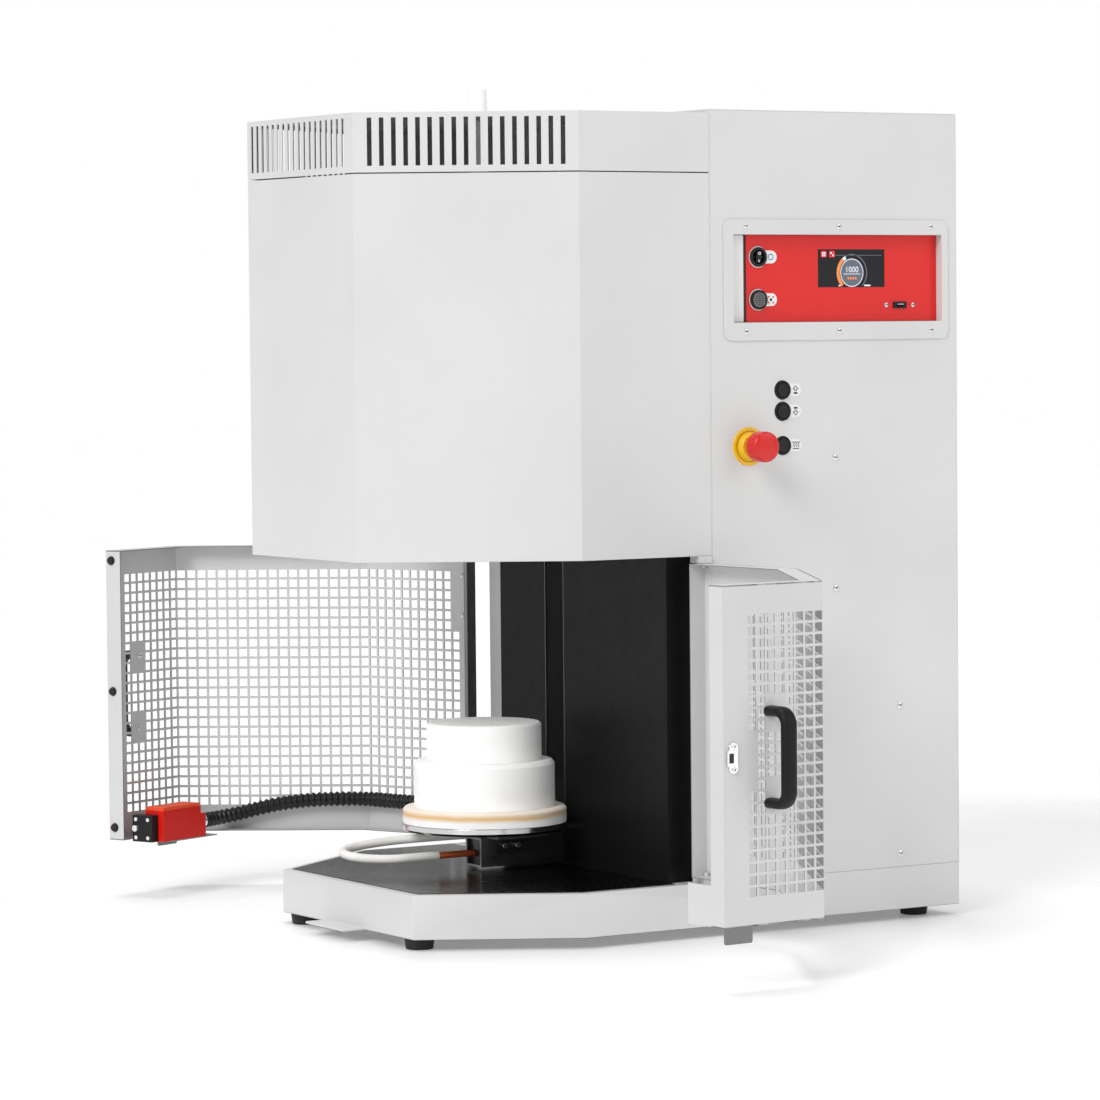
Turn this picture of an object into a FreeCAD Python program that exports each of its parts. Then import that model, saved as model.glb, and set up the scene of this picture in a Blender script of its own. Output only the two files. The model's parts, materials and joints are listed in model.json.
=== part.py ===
import FreeCAD, Part
import math
import os
import re

import Sketcher

# A bottom loading laboratory furnace. Machine frame: X to the right along the front face,
# Y towards the back, Z up from the floor. X = 0 is the corner between the head's front face
# and its slanted corner, Y = 0 is the front face. Every finished piece is shifted by
# (-frame_x, -frame_y), the middle of the whole machine's outline with both guards open.

# Driving dimensions in millimetres and degrees
SIZES = {
    # shift to the middle of the outline
    "frame_x": 173.67,
    "frame_y": 231.647,
    # sheet metal and floor
    "skin": 1.5,
    "play": 0.5,
    "foot_height": 15.0,
    "foot_radius": 20.0,
    "foot_inset": 45.0,
    # plinth under the whole machine
    "deck_top": 73.0,
    "base_slant_x": 193.0,
    "base_slant_y": 114.0,
    "base_side": 354.0,
    "base_depth": 603.0,
    "deck_inset": 12.0,
    "deck_sheet": 1.0,
    "side_tab_x": 125.0,
    "side_tab_width": 106.0,
    "side_tab_reach": 33.0,
    # heating head
    "head_front": 201.0,
    "head_slant_x": 245.0,
    "head_slant_y": 157.0,
    "head_side": 289.0,
    "head_bottom": 505.0,
    "head_seam": 1007.0,
    "seam_gap": 1.5,
    "head_top": 1086.0,
    "vent_slots_side": 18,
    "vent_slots_slant": 17,
    "vent_pitch": 15.6,
    "vent_pitch_side": 14.6,
    "vent_width": 6.0,
    "vent_low": 1017.0,
    "vent_high": 1079.0,
    # control cabinet
    "cab_width": 403.0,
    "cab_depth": 570.0,
    "cab_top": 1091.0,
    # chamber, hearth and its axis
    "axis_x": 33.0,
    "axis_y": 308.0,
    "mouth_radius": 101.0,
    "chamber_radius": 118.0,
    "brick_half": 164.0,
    "chamber_top": 880.0,
    "brick_top": 960.0,
    "vent_bore": 9.0,
    "coil_radius": 108.0,
    "coil_rod": 3.5,
    "coil_count": 4,
    "coil_low": 560.0,
    "hearth_low": 139.0,
    "flange_top": 160.0,
    "flange_radius": 111.0,
    "step_top": 223.0,
    "step_radius": 95.5,
    "plug_top": 274.0,
    "plug_radius": 78.0,
    "tray_low": 128.5,
    "tray_radius": 112.5,
    "tray_band": 96.0,
    # lift
    "arm_size": 40.0,
    "arm_wall": 3.0,
    "arm_low": 78.0,
    "arm_end_x": 15.0,
    "tower_x": 147.0,
    "tower_front": 28.0,
    "tower_back": 450.0,
    "tower_end": 540.0,
    "slot_play": 2.5,
    "slot_top": 505.0,
    "rod_radius": 8.0,
    "rod_pitch": 50.0,
    "rail_x": 240.0,
    "lift_play": 0.05,
    "screw_radius": 7.0,
    "carriage_depth": 36.0,
    "carriage_half": 72.0,
    "carriage_height": 56.0,
    "plate_low": 84.0,
    "plate_high": 500.0,
    # guards, drawn closed and turned open
    "guard_x": 194.0,
    "guard_proud": 6.0,
    "guard_front": 193.0,
    "guard_slant": 280.0,
    "guard_angle": 32.6,
    "guard_gap": 4.0,
    "guard_low": 81.3,
    "guard_high": 495.3,
    "guard_lip": 26.0,
    "guard_skirt": 72.0,
    "skirt_high": 50.0,
    "front_open": 94.0,
    "rear_open": 66.5,
    "pivot_inset": 5.5,
    "pivot_radius": 3.0,
    "mesh_hole": 22.6,
    "mesh_pitch": 28.8,
    "mesh_low": 117.0,
    "mesh_rows": 12,
    "mesh_front": 6,
    "mesh_slant": 9,
    "mesh_side": 4,
    "mesh_edge": 12.0,
    "tongue_width": 43.0,
    "tongue_drop": 20.0,
    # handles and guard fittings
    "handle_span": 112.0,
    "handle_reach": 42.0,
    "handle_bar": 13.0,
    "handle_middle": 285.0,
    "handle_along": 82.0,
    "switch_in": 36.0,
    "switch_plate": 2.0,
    "switch_along": 8.0,
    "switch_low": 80.0,
    "clip_x": 160.0,
    "keeper_along": 140.0,
    "buffer_radius": 6.5,
    # front panel
    "bezel_x": 222.5,
    "bezel_width": 366.0,
    "bezel_low": 787.0,
    "bezel_height": 160.0,
    "bezel_proud": 2.0,
    "recess_x": 238.0,
    "recess_width": 340.0,
    "recess_low": 811.0,
    "recess_height": 116.0,
    "recess_depth": 13.0,
    "red_x": 266.0,
    "display_x": 382.0,
    "display_width": 109.5,
    "display_low": 857.0,
    "display_height": 51.0,
    "round_radius": 13.0,
    "switch_x": 285.0,
    "switch_z": 897.5,
    "sounder_z": 841.0,
    "usb_x": 516.0,
    "usb_z": 833.0,
    "button_x": 315.3,
    "button_up_z": 721.2,
    "button_down_z": 693.0,
    "stop_z": 647.5,
    "stop_x": 261.0,
    "stop_ring": 25.4,
    "stop_neck": 18.0,
    "stop_head": 20.3,
    "stop_reach": 54.0,
    "stop_travel": 6.0,
    "button_radius": 9.5,
    "button_travel": 3.0,
}

doc = FreeCAD.newDocument("BottomLoadingFurnace")
sizes = doc.addObject("Spreadsheet::Sheet", "Sizes")
for row, (alias, value) in enumerate(SIZES.items(), start=1):
    sizes.set(f"A{row}", alias)
    sizes.set(f"B{row}", str(value))
    sizes.setAlias(f"B{row}", alias)
doc.recompute()

NODES = []


def sheet_names(text):
    """An expression whose bare size names point at the spreadsheet."""
    return re.sub(r"[a-z_]+", lambda m: "Sizes." + m.group(0) if m.group(0) in SIZES else m.group(0), str(text))


def bind(obj, prop, text):
    """Ties one property to an expression of size names."""
    obj.setExpression(prop, sheet_names(text))


def number(text):
    """The present value of an expression of size names."""
    got = sizes.evalExpression(sheet_names(text))
    return float(getattr(got, "Value", got))


TURNS = {
    "z": FreeCAD.Rotation(),
    "x": FreeCAD.Rotation(FreeCAD.Vector(0, 1, 0), 90),
    "y": FreeCAD.Rotation(FreeCAD.Vector(1, 0, 0), -90),
}


def put(obj, x="0", y="0", z="0", along="z"):
    """Places a piece with its own Z along a machine axis."""
    obj.Placement = FreeCAD.Placement(FreeCAD.Vector(), TURNS[along])
    bind(obj, "Placement.Base.x", x)
    bind(obj, "Placement.Base.y", y)
    bind(obj, "Placement.Base.z", z)
    return obj


def box(name, x, y, z, dx, dy, dz):
    piece = doc.addObject("Part::Box", name)
    bind(piece, "Length", dx)
    bind(piece, "Width", dy)
    bind(piece, "Height", dz)
    return put(piece, x, y, z)


def rod(name, x, y, z, radius, length, along="z"):
    piece = doc.addObject("Part::Cylinder", name)
    bind(piece, "Radius", radius)
    bind(piece, "Height", length)
    return put(piece, x, y, z, along)


def cone(name, x, y, z, low, high, length, along="z"):
    piece = doc.addObject("Part::Cone", name)
    bind(piece, "Radius1", low)
    bind(piece, "Radius2", high)
    bind(piece, "Height", length)
    return put(piece, x, y, z, along)


def fuse(name, *pieces):
    joined = doc.addObject("Part::MultiFuse", name)
    joined.Shapes = list(pieces)
    return joined


def group(name, *pieces):
    """Separate solids kept together in one piece."""
    together = doc.addObject("Part::Compound", name)
    together.Links = list(pieces)
    return together


def cut(name, base, *tools):
    tool = tools[0] if len(tools) == 1 else group(name + "_tools", *tools)
    left = doc.addObject("Part::Cut", name)
    left.Base = base
    left.Tool = tool
    return left


def ring(name, x, y, z, outer, inner, length, along="z"):
    return cut(name, rod(name + "_outer", x, y, z, outer, length, along),
               rod(name + "_bore", x, y, z, inner, length, along))


def origin_plane(body, role):
    return [item for item in body.Origin.OriginFeatures if item.Role == role][0]


def polygon_sketch(body, name, plane, points):
    """A closed outline whose corners are all tied to expressions."""
    sketch = body.newObject("Sketcher::SketchObject", name)
    sketch.AttachmentSupport = (plane, [""])
    sketch.MapMode = "FlatFace"
    now = [(number(a), number(b)) for a, b in points]
    count = len(now)
    for i in range(count):
        start = FreeCAD.Vector(now[i][0], now[i][1], 0)
        end = FreeCAD.Vector(now[(i + 1) % count][0], now[(i + 1) % count][1], 0)
        sketch.addGeometry(Part.LineSegment(start, end))
    for i in range(count):
        sketch.addConstraint(Sketcher.Constraint("Coincident", i, 2, (i + 1) % count, 1))
        for kind, side in (("DistanceX", 0), ("DistanceY", 1)):
            index = sketch.addConstraint(Sketcher.Constraint(kind, -1, 1, i, 1, now[i][side]))
            bind(sketch, f"Constraints[{index}]", points[i][side])
    return sketch


def prism(name, points, start, length, plane="XY_Plane"):
    """An outline pulled into a solid along the plane's normal."""
    body = doc.addObject("PartDesign::Body", name)
    sketch = polygon_sketch(body, name + "_outline", origin_plane(body, plane), points)
    pad = body.newObject("PartDesign::Pad", name + "_pad")
    pad.Profile = sketch
    bind(pad, "Length", length)
    axis = {"XY_Plane": "z", "XZ_Plane": "y", "YZ_Plane": "x"}[plane]
    if axis == "y":
        pad.Reversed = True
    body.Placement = FreeCAD.Placement()
    bind(body, f"Placement.Base.{axis}", start)
    return body


def hollow(body, open_top, open_bottom):
    """Leaves a sheet-metal skin of an upright prism, open at the named ends."""
    doc.recompute()
    pad = body.Tip
    ends = []
    for index, face in enumerate(pad.Shape.Faces, start=1):
        way = face.normalAt(0, 0).z
        if (open_top and way > 0.99) or (open_bottom and way < -0.99):
            ends.append(f"Face{index}")
    shell = body.newObject("PartDesign::Thickness", body.Name + "_skin")
    shell.Base = (pad, ends)
    shell.Reversed = True
    shell.Mode = 0
    shell.Join = 1
    bind(shell, "Value", "skin")
    body.Tip = shell
    return body


def revolved(name, points, x, y, z="0"):
    """An outline of (radius, height) corners turned about an upright axis."""
    body = doc.addObject("PartDesign::Body", name)
    sketch = polygon_sketch(body, name + "_profile", origin_plane(body, "XZ_Plane"), points)
    turn = body.newObject("PartDesign::Revolution", name + "_turn")
    turn.Profile = sketch
    turn.ReferenceAxis = (sketch, ["V_Axis"])
    turn.Angle = 360
    return put(body, x, y, z)


def finish(piece, label):
    """Names a finished piece and shifts it to the middle of the outline."""
    base = piece.Placement.Base
    own = {item[0].lstrip("."): item[1] for item in piece.ExpressionEngine}
    for side, shift in (("x", "frame_x"), ("y", "frame_y")):
        now = own.get(f"Placement.Base.{side}", str(getattr(base, side)))
        piece.setExpression(f"Placement.Base.{side}", f"({now}) - Sizes.{shift}")
    piece.Label = label
    NODES.append(piece)
    return piece


MIDDLE = "(base_depth / 2)"


def guard_finish(piece, label, rear):
    """Names a piece of a guard, drawn closed, and turns it open about the guard's pivot."""
    turn = "(-rear_open)" if rear else "front_open"
    px = "(guard_x - pivot_inset)"
    py = "(pivot_inset - guard_proud)"
    if rear:
        py = "(base_depth - pivot_inset + guard_proud)"
    piece.Label = label + "_closed"
    piece = group(label + "_open", piece)
    piece.Placement = FreeCAD.Placement(FreeCAD.Vector(), FreeCAD.Rotation(FreeCAD.Vector(0, 0, 1), 30))
    bind(piece, "Placement.Rotation.Angle", turn)
    bind(piece, "Placement.Base.x", f"{px} - {px} * cos({turn}) + {py} * sin({turn}) - frame_x")
    bind(piece, "Placement.Base.y", f"{py} - {px} * sin({turn}) - {py} * cos({turn}) - frame_y")
    piece.Label = label
    NODES.append(piece)
    return piece


# Plinth: a pan open below, with the lower outline of the machine, rubber feet and a side tab
BASE_DEPTH_BACK = "(base_depth - base_slant_y - base_side)"
base_points = [
    ("head_front + cab_width", "0"),
    ("0", "0"),
    ("-base_slant_x", "base_slant_y"),
    ("-base_slant_x", "base_slant_y + base_side"),
    ("0", "base_depth"),
    ("head_front", "base_depth"),
    ("head_front", "cab_depth"),
    ("head_front + cab_width", "cab_depth"),
]
pan = hollow(prism("pan", base_points, "foot_height", "deck_top - foot_height"), False, True)
side_tab = box("side_tab", "-base_slant_x - side_tab_reach", "base_slant_y + side_tab_x", "foot_height",
               "side_tab_reach + skin", "side_tab_width", "2 * skin")
finish(fuse("base_pan", pan, side_tab), "base_pan")

feet = []
foot_places = [
    ("head_front + cab_width - foot_inset", "foot_inset"),
    ("head_front + cab_width - foot_inset", "cab_depth - foot_inset"),
    ("foot_inset / 2", "base_depth - foot_inset"),
    ("foot_inset / 2 - base_slant_x", "base_slant_y + foot_inset / 2"),
    ("foot_inset / 2 - base_slant_x", "base_slant_y + base_side - foot_inset / 2"),
]
for i, (x, y) in enumerate(foot_places):
    sole = cone(f"foot_{i}", x, y, "0", "foot_radius - 2", "foot_radius", "foot_height")
    stem = rod(f"foot_stem_{i}", x, y, "foot_height", "foot_radius / 2", "deck_top - skin - foot_height")
    feet.append(fuse(f"foot_whole_{i}", sole, stem))
finish(group("rubber_feet", *feet), "rubber_feet")

deck_points = [
    ("tower_x", "deck_inset"),
    ("deck_inset * tan(atan(base_slant_y / base_slant_x) / 2)", "deck_inset"),
    ("deck_inset - base_slant_x", "base_slant_y + deck_inset * tan(45 deg - atan(base_slant_y / base_slant_x) / 2)"),
    ("deck_inset - base_slant_x", "base_slant_y + base_side - deck_inset * tan(45 deg - atan("
     + BASE_DEPTH_BACK + " / base_slant_x) / 2)"),
    ("deck_inset * tan(atan(" + BASE_DEPTH_BACK + " / base_slant_x) / 2)", "base_depth - deck_inset"),
    ("tower_x", "base_depth - deck_inset"),
]
finish(prism("deck_plate", deck_points, "deck_top", "deck_sheet"), "deck_plate")

# Cabinet: a folded wrap with left wall, top and right wall, and front and rear panels set in it
wrap_profile = [
    ("head_front", "deck_top"),
    ("head_front", "cab_top"),
    ("head_front + cab_width", "cab_top"),
    ("head_front + cab_width", "deck_top"),
    ("head_front + cab_width - skin", "deck_top"),
    ("head_front + cab_width - skin", "cab_top - skin"),
    ("head_front + skin", "cab_top - skin"),
    ("head_front + skin", "deck_top"),
]
wrap = prism("wrap", wrap_profile, "0", "cab_depth", "XZ_Plane")
lift_window = box("lift_window", "head_front - skin", "tower_front + 10", "deck_top + 2", "3 * skin",
                  "tower_back - tower_front", "head_bottom - deck_top - 12")
finish(cut("cabinet_wrap", wrap, lift_window), "cabinet_wrap")

INNER_X = "(head_front + skin)"
INNER_WIDTH = "(cab_width - 2 * skin)"
front_blank = box("front_blank", INNER_X, "0", "deck_top", INNER_WIDTH, "skin", "cab_top - skin - deck_top")
front_lips = fuse(
    "front_lips",
    box("front_lip_left", INNER_X, "skin", "deck_top", "skin", "18", "cab_top - skin - deck_top"),
    box("front_lip_right", "head_front + cab_width - 2 * skin", "skin", "deck_top", "skin", "18",
        "cab_top - skin - deck_top"),
)
front_holes = [
    box("recess_hole", "recess_x - skin", "-1", "recess_low - skin", "recess_width + 2 * skin", "4 * skin",
        "recess_height + 2 * skin"),
    rod("hole_up", "button_x", "-1", "button_up_z", "button_radius + 1.5", "4 * skin", "y"),
    rod("hole_down", "button_x", "-1", "button_down_z", "button_radius + 1.5", "4 * skin", "y"),
    rod("hole_third", "button_x", "-1", "stop_z", "button_radius + 1.5", "4 * skin", "y"),
    rod("hole_stop", "stop_x", "-1", "stop_z", "11.1", "4 * skin", "y"),
]
finish(cut("cabinet_front", fuse("front_sheet", front_blank, front_lips), *front_holes), "cabinet_front")

# Rear panel with a fan opening, a row of louvre slots and the opening for the supply inlet
FAN_X = "(head_front + cab_width / 2)"
FAN_Z = "(cab_top - 160)"
rear_blank = box("rear_blank", INNER_X, "cab_depth - skin", "deck_top", INNER_WIDTH, "skin",
                 "cab_top - skin - deck_top")
rear_cuts = [
    rod("fan_hole", FAN_X, "cab_depth - 3 * skin", FAN_Z, "56", "5 * skin", "y"),
    box("inlet_hole", "head_front + cab_width - 120", "cab_depth - 3 * skin", "deck_top + 60", "50", "5 * skin", "50"),
]
for i in range(8):
    rear_cuts.append(box(f"louvre_{i}", "head_front + 90", "cab_depth - 3 * skin", f"head_bottom + 60 + {i} * 22",
                         "cab_width - 180", "5 * skin", "8"))
finish(cut("cabinet_rear", rear_blank, *rear_cuts), "cabinet_rear")

# Screws of the panels: low pan heads with a shank in the sheet
screws = []
panel_screws = [("400", "630"), ("400", "455"), ("504.5", "292"), ("504.5", "91")]
for i, (x, z) in enumerate(panel_screws):
    screws.append(cone(f"panel_screw_{i}", x, "-2.2", z, "3.2", "4.4", "2.2", "y"))
finish(group("panel_screws", *screws), "panel_screws")

# Instrument bezel: a proud frame with a recess tray behind it, and its six screws
frame = fuse(
    "bezel_solid",
    box("bezel_face", "bezel_x", "-bezel_proud", "bezel_low", "bezel_width", "bezel_proud", "bezel_height"),
    box("bezel_tray", "recess_x - skin", "0", "recess_low - skin", "recess_width + 2 * skin", "recess_depth + skin",
        "recess_height + 2 * skin"),
)
window = box("bezel_window", "recess_x", "-bezel_proud - 1", "recess_low", "recess_width",
             "bezel_proud + 1 + recess_depth", "recess_height")
tray_holes = [
    rod("tray_switch_hole", "switch_x", "recess_depth - 1", "switch_z", "round_radius - 2.5", "4 * skin", "y"),
    rod("tray_sounder_hole", "switch_x", "recess_depth - 1", "sounder_z", "round_radius - 2.5", "4 * skin", "y"),
    box("tray_display_hole", "display_x + 4", "recess_depth - 1", "display_low + 4", "display_width - 8", "4 * skin",
        "display_height - 8"),
    box("tray_usb_hole", "usb_x - 7", "recess_depth - 1", "usb_z - 3", "14", "4 * skin", "6"),
]
bezel_sharp = cut("bezel_sharp", frame, window, *tray_holes)
doc.recompute()
corners = []
for index, edge in enumerate(bezel_sharp.Shape.Edges, start=1):
    if len(edge.Vertexes) < 2:
        continue
    a, b = (v.Point for v in edge.Vertexes)
    upright = edge.Length < 3 and abs(a.y - b.y) > 1
    outer = abs(a.x - number("bezel_x")) < 0.1 or abs(a.x - number("bezel_x + bezel_width")) < 0.1
    if upright and outer:
        corners.append((index, 12.0, 12.0))
bezel = doc.addObject("Part::Fillet", "instrument_bezel")
bezel.Base = bezel_sharp
bezel.Edges = corners
finish(bezel, "instrument_bezel")

bezel_screws = []
for i, x in enumerate(("recess_x + 19", "recess_x + recess_width / 2 - 1", "recess_x + recess_width - 19")):
    for j, z in enumerate(("recess_low - 12", "recess_low + recess_height + 11")):
        bezel_screws.append(cone(f"bezel_screw_{i}{j}", x, "-bezel_proud - 1.6", z, "2.4", "3.5", "1.6", "y"))
for i, x in enumerate(("usb_x - 22", "usb_x + 22")):
    bezel_screws.append(cone(f"usb_screw_{i}", x, "recess_depth - 3.6", "usb_z", "2.2", "3.2", "1.6", "y"))
finish(group("bezel_screws", *bezel_screws), "bezel_screws")

# Red instrument plate with its display, switch, sounder and data socket
plate_blank = box("plate_blank", "red_x", "recess_depth - 2", "recess_low + 0.5", "recess_x + recess_width - 0.5 - red_x",
                  "2", "recess_height - 1")
finish(cut(
    "instrument_plate", plate_blank,
    rod("plate_switch_hole", "switch_x", "0", "switch_z", "round_radius - 2.5", "recess_depth + 5", "y"),
    rod("plate_sounder_hole", "switch_x", "0", "sounder_z", "round_radius - 2.5", "recess_depth + 5", "y"),
    box("plate_display_hole", "display_x", "0", "display_low", "display_width", "recess_depth + 5", "display_height"),
    box("plate_usb_hole", "usb_x - 7", "0", "usb_z - 3", "14", "recess_depth + 5", "6"),
), "instrument_plate")
display = fuse(
    "display_solid",
    box("display_glass", "display_x", "recess_depth - 2", "display_low", "display_width", "2", "display_height"),
    box("display_back", "display_x + 4", "recess_depth", "display_low + 4", "display_width - 8", "12",
        "display_height - 8"),
)
finish(display, "touch_display")
usb = fuse(
    "usb_solid",
    box("usb_face", "usb_x - 10.5", "recess_depth - 4", "usb_z - 4.3", "21", "2", "8.6"),
    box("usb_back", "usb_x - 7", "recess_depth - 2", "usb_z - 3", "14", "16", "6"),
)
finish(cut("usb_socket", usb, box("usb_mouth", "usb_x - 6", "0", "usb_z - 2.2", "12", "recess_depth + 8", "4.4")),
       "usb_socket")
sounder = fuse(
    "sounder_solid",
    rod("sounder_face", "switch_x", "recess_depth - 6", "sounder_z", "round_radius", "4", "y"),
    rod("sounder_body", "switch_x", "recess_depth - 2", "sounder_z", "round_radius - 2.5", "18", "y"),
)
sounder_holes = []
for i in range(7):
    angle = f"{60 * i}"
    reach = "0" if i == 6 else "5.5"
    sounder_holes.append(rod(f"sounder_hole_{i}", f"switch_x + {reach} * cos({angle})", "recess_depth - 7",
                             f"sounder_z + {reach} * sin({angle})", "1.6", "3", "y"))
finish(cut("sounder", sounder, *sounder_holes), "sounder")

# Rocker switch: a round housing and a rocker on a cross pin
housing = fuse(
    "rocker_housing_solid",
    rod("rocker_rim", "switch_x", "recess_depth - 5", "switch_z", "round_radius", "3", "y"),
    rod("rocker_barrel", "switch_x", "recess_depth - 2", "switch_z", "round_radius - 2.5", "22", "y"),
)
rocker_well = rod("rocker_well", "switch_x", "recess_depth - 6", "switch_z", "round_radius - 3.5", "16", "y")
rocker_pin = rod("rocker_pin", "switch_x - round_radius + 3", "recess_depth - 1", "switch_z", "1.5",
                 "2 * round_radius - 6", "x")
finish(fuse("rocker_housing", cut("rocker_cup", housing, rocker_well), rocker_pin), "rocker_housing")
rocker_profile = [
    ("recess_depth - 6.5", "switch_z + 7.2"),
    ("recess_depth - 5.2", "switch_z"),
    ("recess_depth - 4", "switch_z - 7.2"),
    ("recess_depth + 1", "switch_z - 6"),
    ("recess_depth + 3.5", "switch_z"),
    ("recess_depth + 1", "switch_z + 6"),
]
rocker = prism("rocker", rocker_profile, "switch_x - 4", "8", "YZ_Plane")
rocker_bore = rod("rocker_bore", "switch_x - 5", "recess_depth - 1", "switch_z", "1.55", "10", "x")
finish(cut("power_rocker", rocker, rocker_bore), "power_rocker")

# Push buttons: three black rings with a sprung cap each
rings = []
for name, z in (("up", "button_up_z"), ("down", "button_down_z"), ("third", "stop_z")):
    face = rod(f"ring_{name}_face", "button_x", "-2.5", z, "round_radius", "2.5", "y")
    barrel = rod(f"ring_{name}_barrel", "button_x", "0", z, "button_radius + 1.5", "26", "y")
    well = rod(f"ring_{name}_well", "button_x", "-3.5", z, "button_radius + lift_play", "14", "y")
    rings.append(cut(f"ring_{name}", fuse(f"ring_{name}_solid", face, barrel), well))
finish(group("button_rings", *rings), "button_rings")
for name, z in (("up", "button_up_z"), ("down", "button_down_z"), ("hearth", "stop_z")):
    cap = rod(f"cap_{name}", "button_x", "-3.5", z, "button_radius", "8", "y")
    dish = cone(f"cap_{name}_dish", "button_x", "-3.6", z, "button_radius - 2", "button_radius - 4", "1", "y")
    finish(cut(f"{name}_button", cap, dish), f"{name}_button")

# Emergency stop: a yellow collar fixed to the panel and a red mushroom that slides in it
collar = fuse(
    "collar_solid",
    rod("collar_disc", "stop_x", "-2", "stop_z", "stop_ring", "2", "y"),
    cone("collar_neck", "stop_x", "-9", "stop_z", "stop_neck - 3", "stop_neck", "7", "y"),
    rod("collar_barrel", "stop_x", "0", "stop_z", "11", "34", "y"),
)
finish(cut("stop_collar", collar, rod("collar_bore", "stop_x", "-10", "stop_z", "8 + lift_play", "40", "y")), "stop_collar")
mushroom_points = [
    ("0", "0"),
    ("8", "0"),
    ("8", "27.5"),
    ("stop_head - 5", "29"),
    ("stop_head", "33.5"),
    ("stop_head", "stop_reach - 3"),
    ("stop_head - 3", "stop_reach"),
    ("0", "stop_reach + 1"),
]
mushroom = doc.addObject("PartDesign::Body", "mushroom")
mushroom_sketch = polygon_sketch(mushroom, "mushroom_profile", origin_plane(mushroom, "XZ_Plane"), mushroom_points)
mushroom_turn = mushroom.newObject("PartDesign::Revolution", "mushroom_turn")
mushroom_turn.Profile = mushroom_sketch
mushroom_turn.ReferenceAxis = (mushroom_sketch, ["V_Axis"])
mushroom_turn.Angle = 360
mushroom.Placement = FreeCAD.Placement(FreeCAD.Vector(), FreeCAD.Rotation(FreeCAD.Vector(1, 0, 0), 90))
bind(mushroom, "Placement.Base.x", "stop_x")
bind(mushroom, "Placement.Base.y", "10")
bind(mushroom, "Placement.Base.z", "stop_z")
finish(mushroom, "stop_button")

# Head: a lower hood with a closed floor and a mouth, and an upper band with upright vent slots
head_points = [
    ("head_front", "0"),
    ("0", "0"),
    ("-head_slant_x", "head_slant_y"),
    ("-head_slant_x", "head_slant_y + head_side"),
    ("0", "2 * head_slant_y + head_side"),
    ("head_front", "2 * head_slant_y + head_side"),
]
hood = hollow(prism("hood", head_points, "head_bottom", "head_seam - head_bottom"), True, False)
mouth = rod("hood_mouth", "axis_x", "axis_y", "head_bottom - 1", "mouth_radius + 2", "6")
finish(cut("head_hood", hood, mouth), "head_hood")

band = hollow(prism("band", head_points, "head_seam + seam_gap", "head_top - head_seam - seam_gap"), False, True)
slots = []
SLANT = "atan(head_slant_y / head_slant_x)"


def vent_box(name, x, y, turn):
    """A slot through the wall, its long side up, its cut across the wall."""
    slot = doc.addObject("Part::Box", name)
    bind(slot, "Length", "vent_width")
    bind(slot, "Width", "8 * skin")
    bind(slot, "Height", "vent_high - vent_low")
    slot.Placement = FreeCAD.Placement(FreeCAD.Vector(), FreeCAD.Rotation(FreeCAD.Vector(0, 0, 1), 30))
    bind(slot, "Placement.Rotation.Angle", turn)
    bind(slot, "Placement.Base.x", x)
    bind(slot, "Placement.Base.y", y)
    bind(slot, "Placement.Base.z", "vent_low")
    return slot


for i in range(SIZES["vent_slots_slant"]):
    step = f"(17 + {i} * vent_pitch)"
    slots.append(vent_box(f"vent_slant_{i}", f"4 * skin * sin({SLANT}) - {step} * cos({SLANT})",
                          f"{step} * sin({SLANT}) + 4 * skin * cos({SLANT})", f"180 deg - {SLANT}"))
    slots.append(vent_box(f"vent_back_{i}", f"0 - {step} * cos({SLANT}) - 4 * skin * sin({SLANT})",
                          f"2 * head_slant_y + head_side - {step} * sin({SLANT}) + 4 * skin * cos({SLANT})",
                          f"180 deg + {SLANT}"))
for i in range(SIZES["vent_slots_side"]):
    slots.append(vent_box(f"vent_side_{i}", "4 * skin - head_slant_x", f"head_slant_y + 24 + {i} * vent_pitch_side", "90"))
spigot_hole = rod("spigot_hole", "axis_x", "axis_y", "head_top - 4", "14", "8")
finish(cut("vent_band", band, spigot_hole, *slots), "vent_band")

spigot = revolved("vent_spigot_solid", [
    ("vent_bore", "chamber_top"),
    ("13.5", "chamber_top"),
    ("13.5", "head_top"),
    ("17", "head_top"),
    ("17", "head_top + 4"),
    ("13.5", "head_top + 4"),
    ("12", "head_top + 42"),
    ("vent_bore", "head_top + 42"),
], "axis_x", "axis_y")
finish(spigot, "vent_spigot")

# Chamber: a square ceramic block with a round bore and mouth, and a roof block over it
block = box("block", "axis_x - brick_half", "axis_y - brick_half", "head_bottom + skin", "2 * brick_half",
            "2 * brick_half", "chamber_top - head_bottom - skin")
bore = rod("block_bore", "axis_x", "axis_y", "head_bottom + 40", "chamber_radius", "chamber_top - head_bottom")
block_mouth = rod("block_mouth", "axis_x", "axis_y", "head_bottom - 1", "mouth_radius", "60")
finish(cut("chamber_block", block, bore, block_mouth), "chamber_block")
roof = box("roof", "axis_x - brick_half", "axis_y - brick_half", "chamber_top", "2 * brick_half", "2 * brick_half",
           "brick_top - chamber_top")
roof_cuts = [
    rod("roof_vent", "axis_x", "axis_y", "chamber_top - 1", "14", "brick_top - chamber_top + 2"),
    rod("roof_couple", "axis_x + 50", "axis_y", "chamber_top - 1", "5", "brick_top - chamber_top + 2"),
]
coils = []
for i in range(SIZES["coil_count"]):
    for j, turn in enumerate((-12, 12)):
        angle = f"(45 + {90 * i} + {turn})"
        x = f"axis_x + coil_radius * cos({angle})"
        y = f"axis_y + coil_radius * sin({angle})"
        roof_cuts.append(rod(f"roof_coil_{i}{j}", x, y, "chamber_top - 1", "coil_rod", "brick_top - chamber_top + 2"))
finish(cut("roof_block", roof, *roof_cuts), "roof_block")

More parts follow.
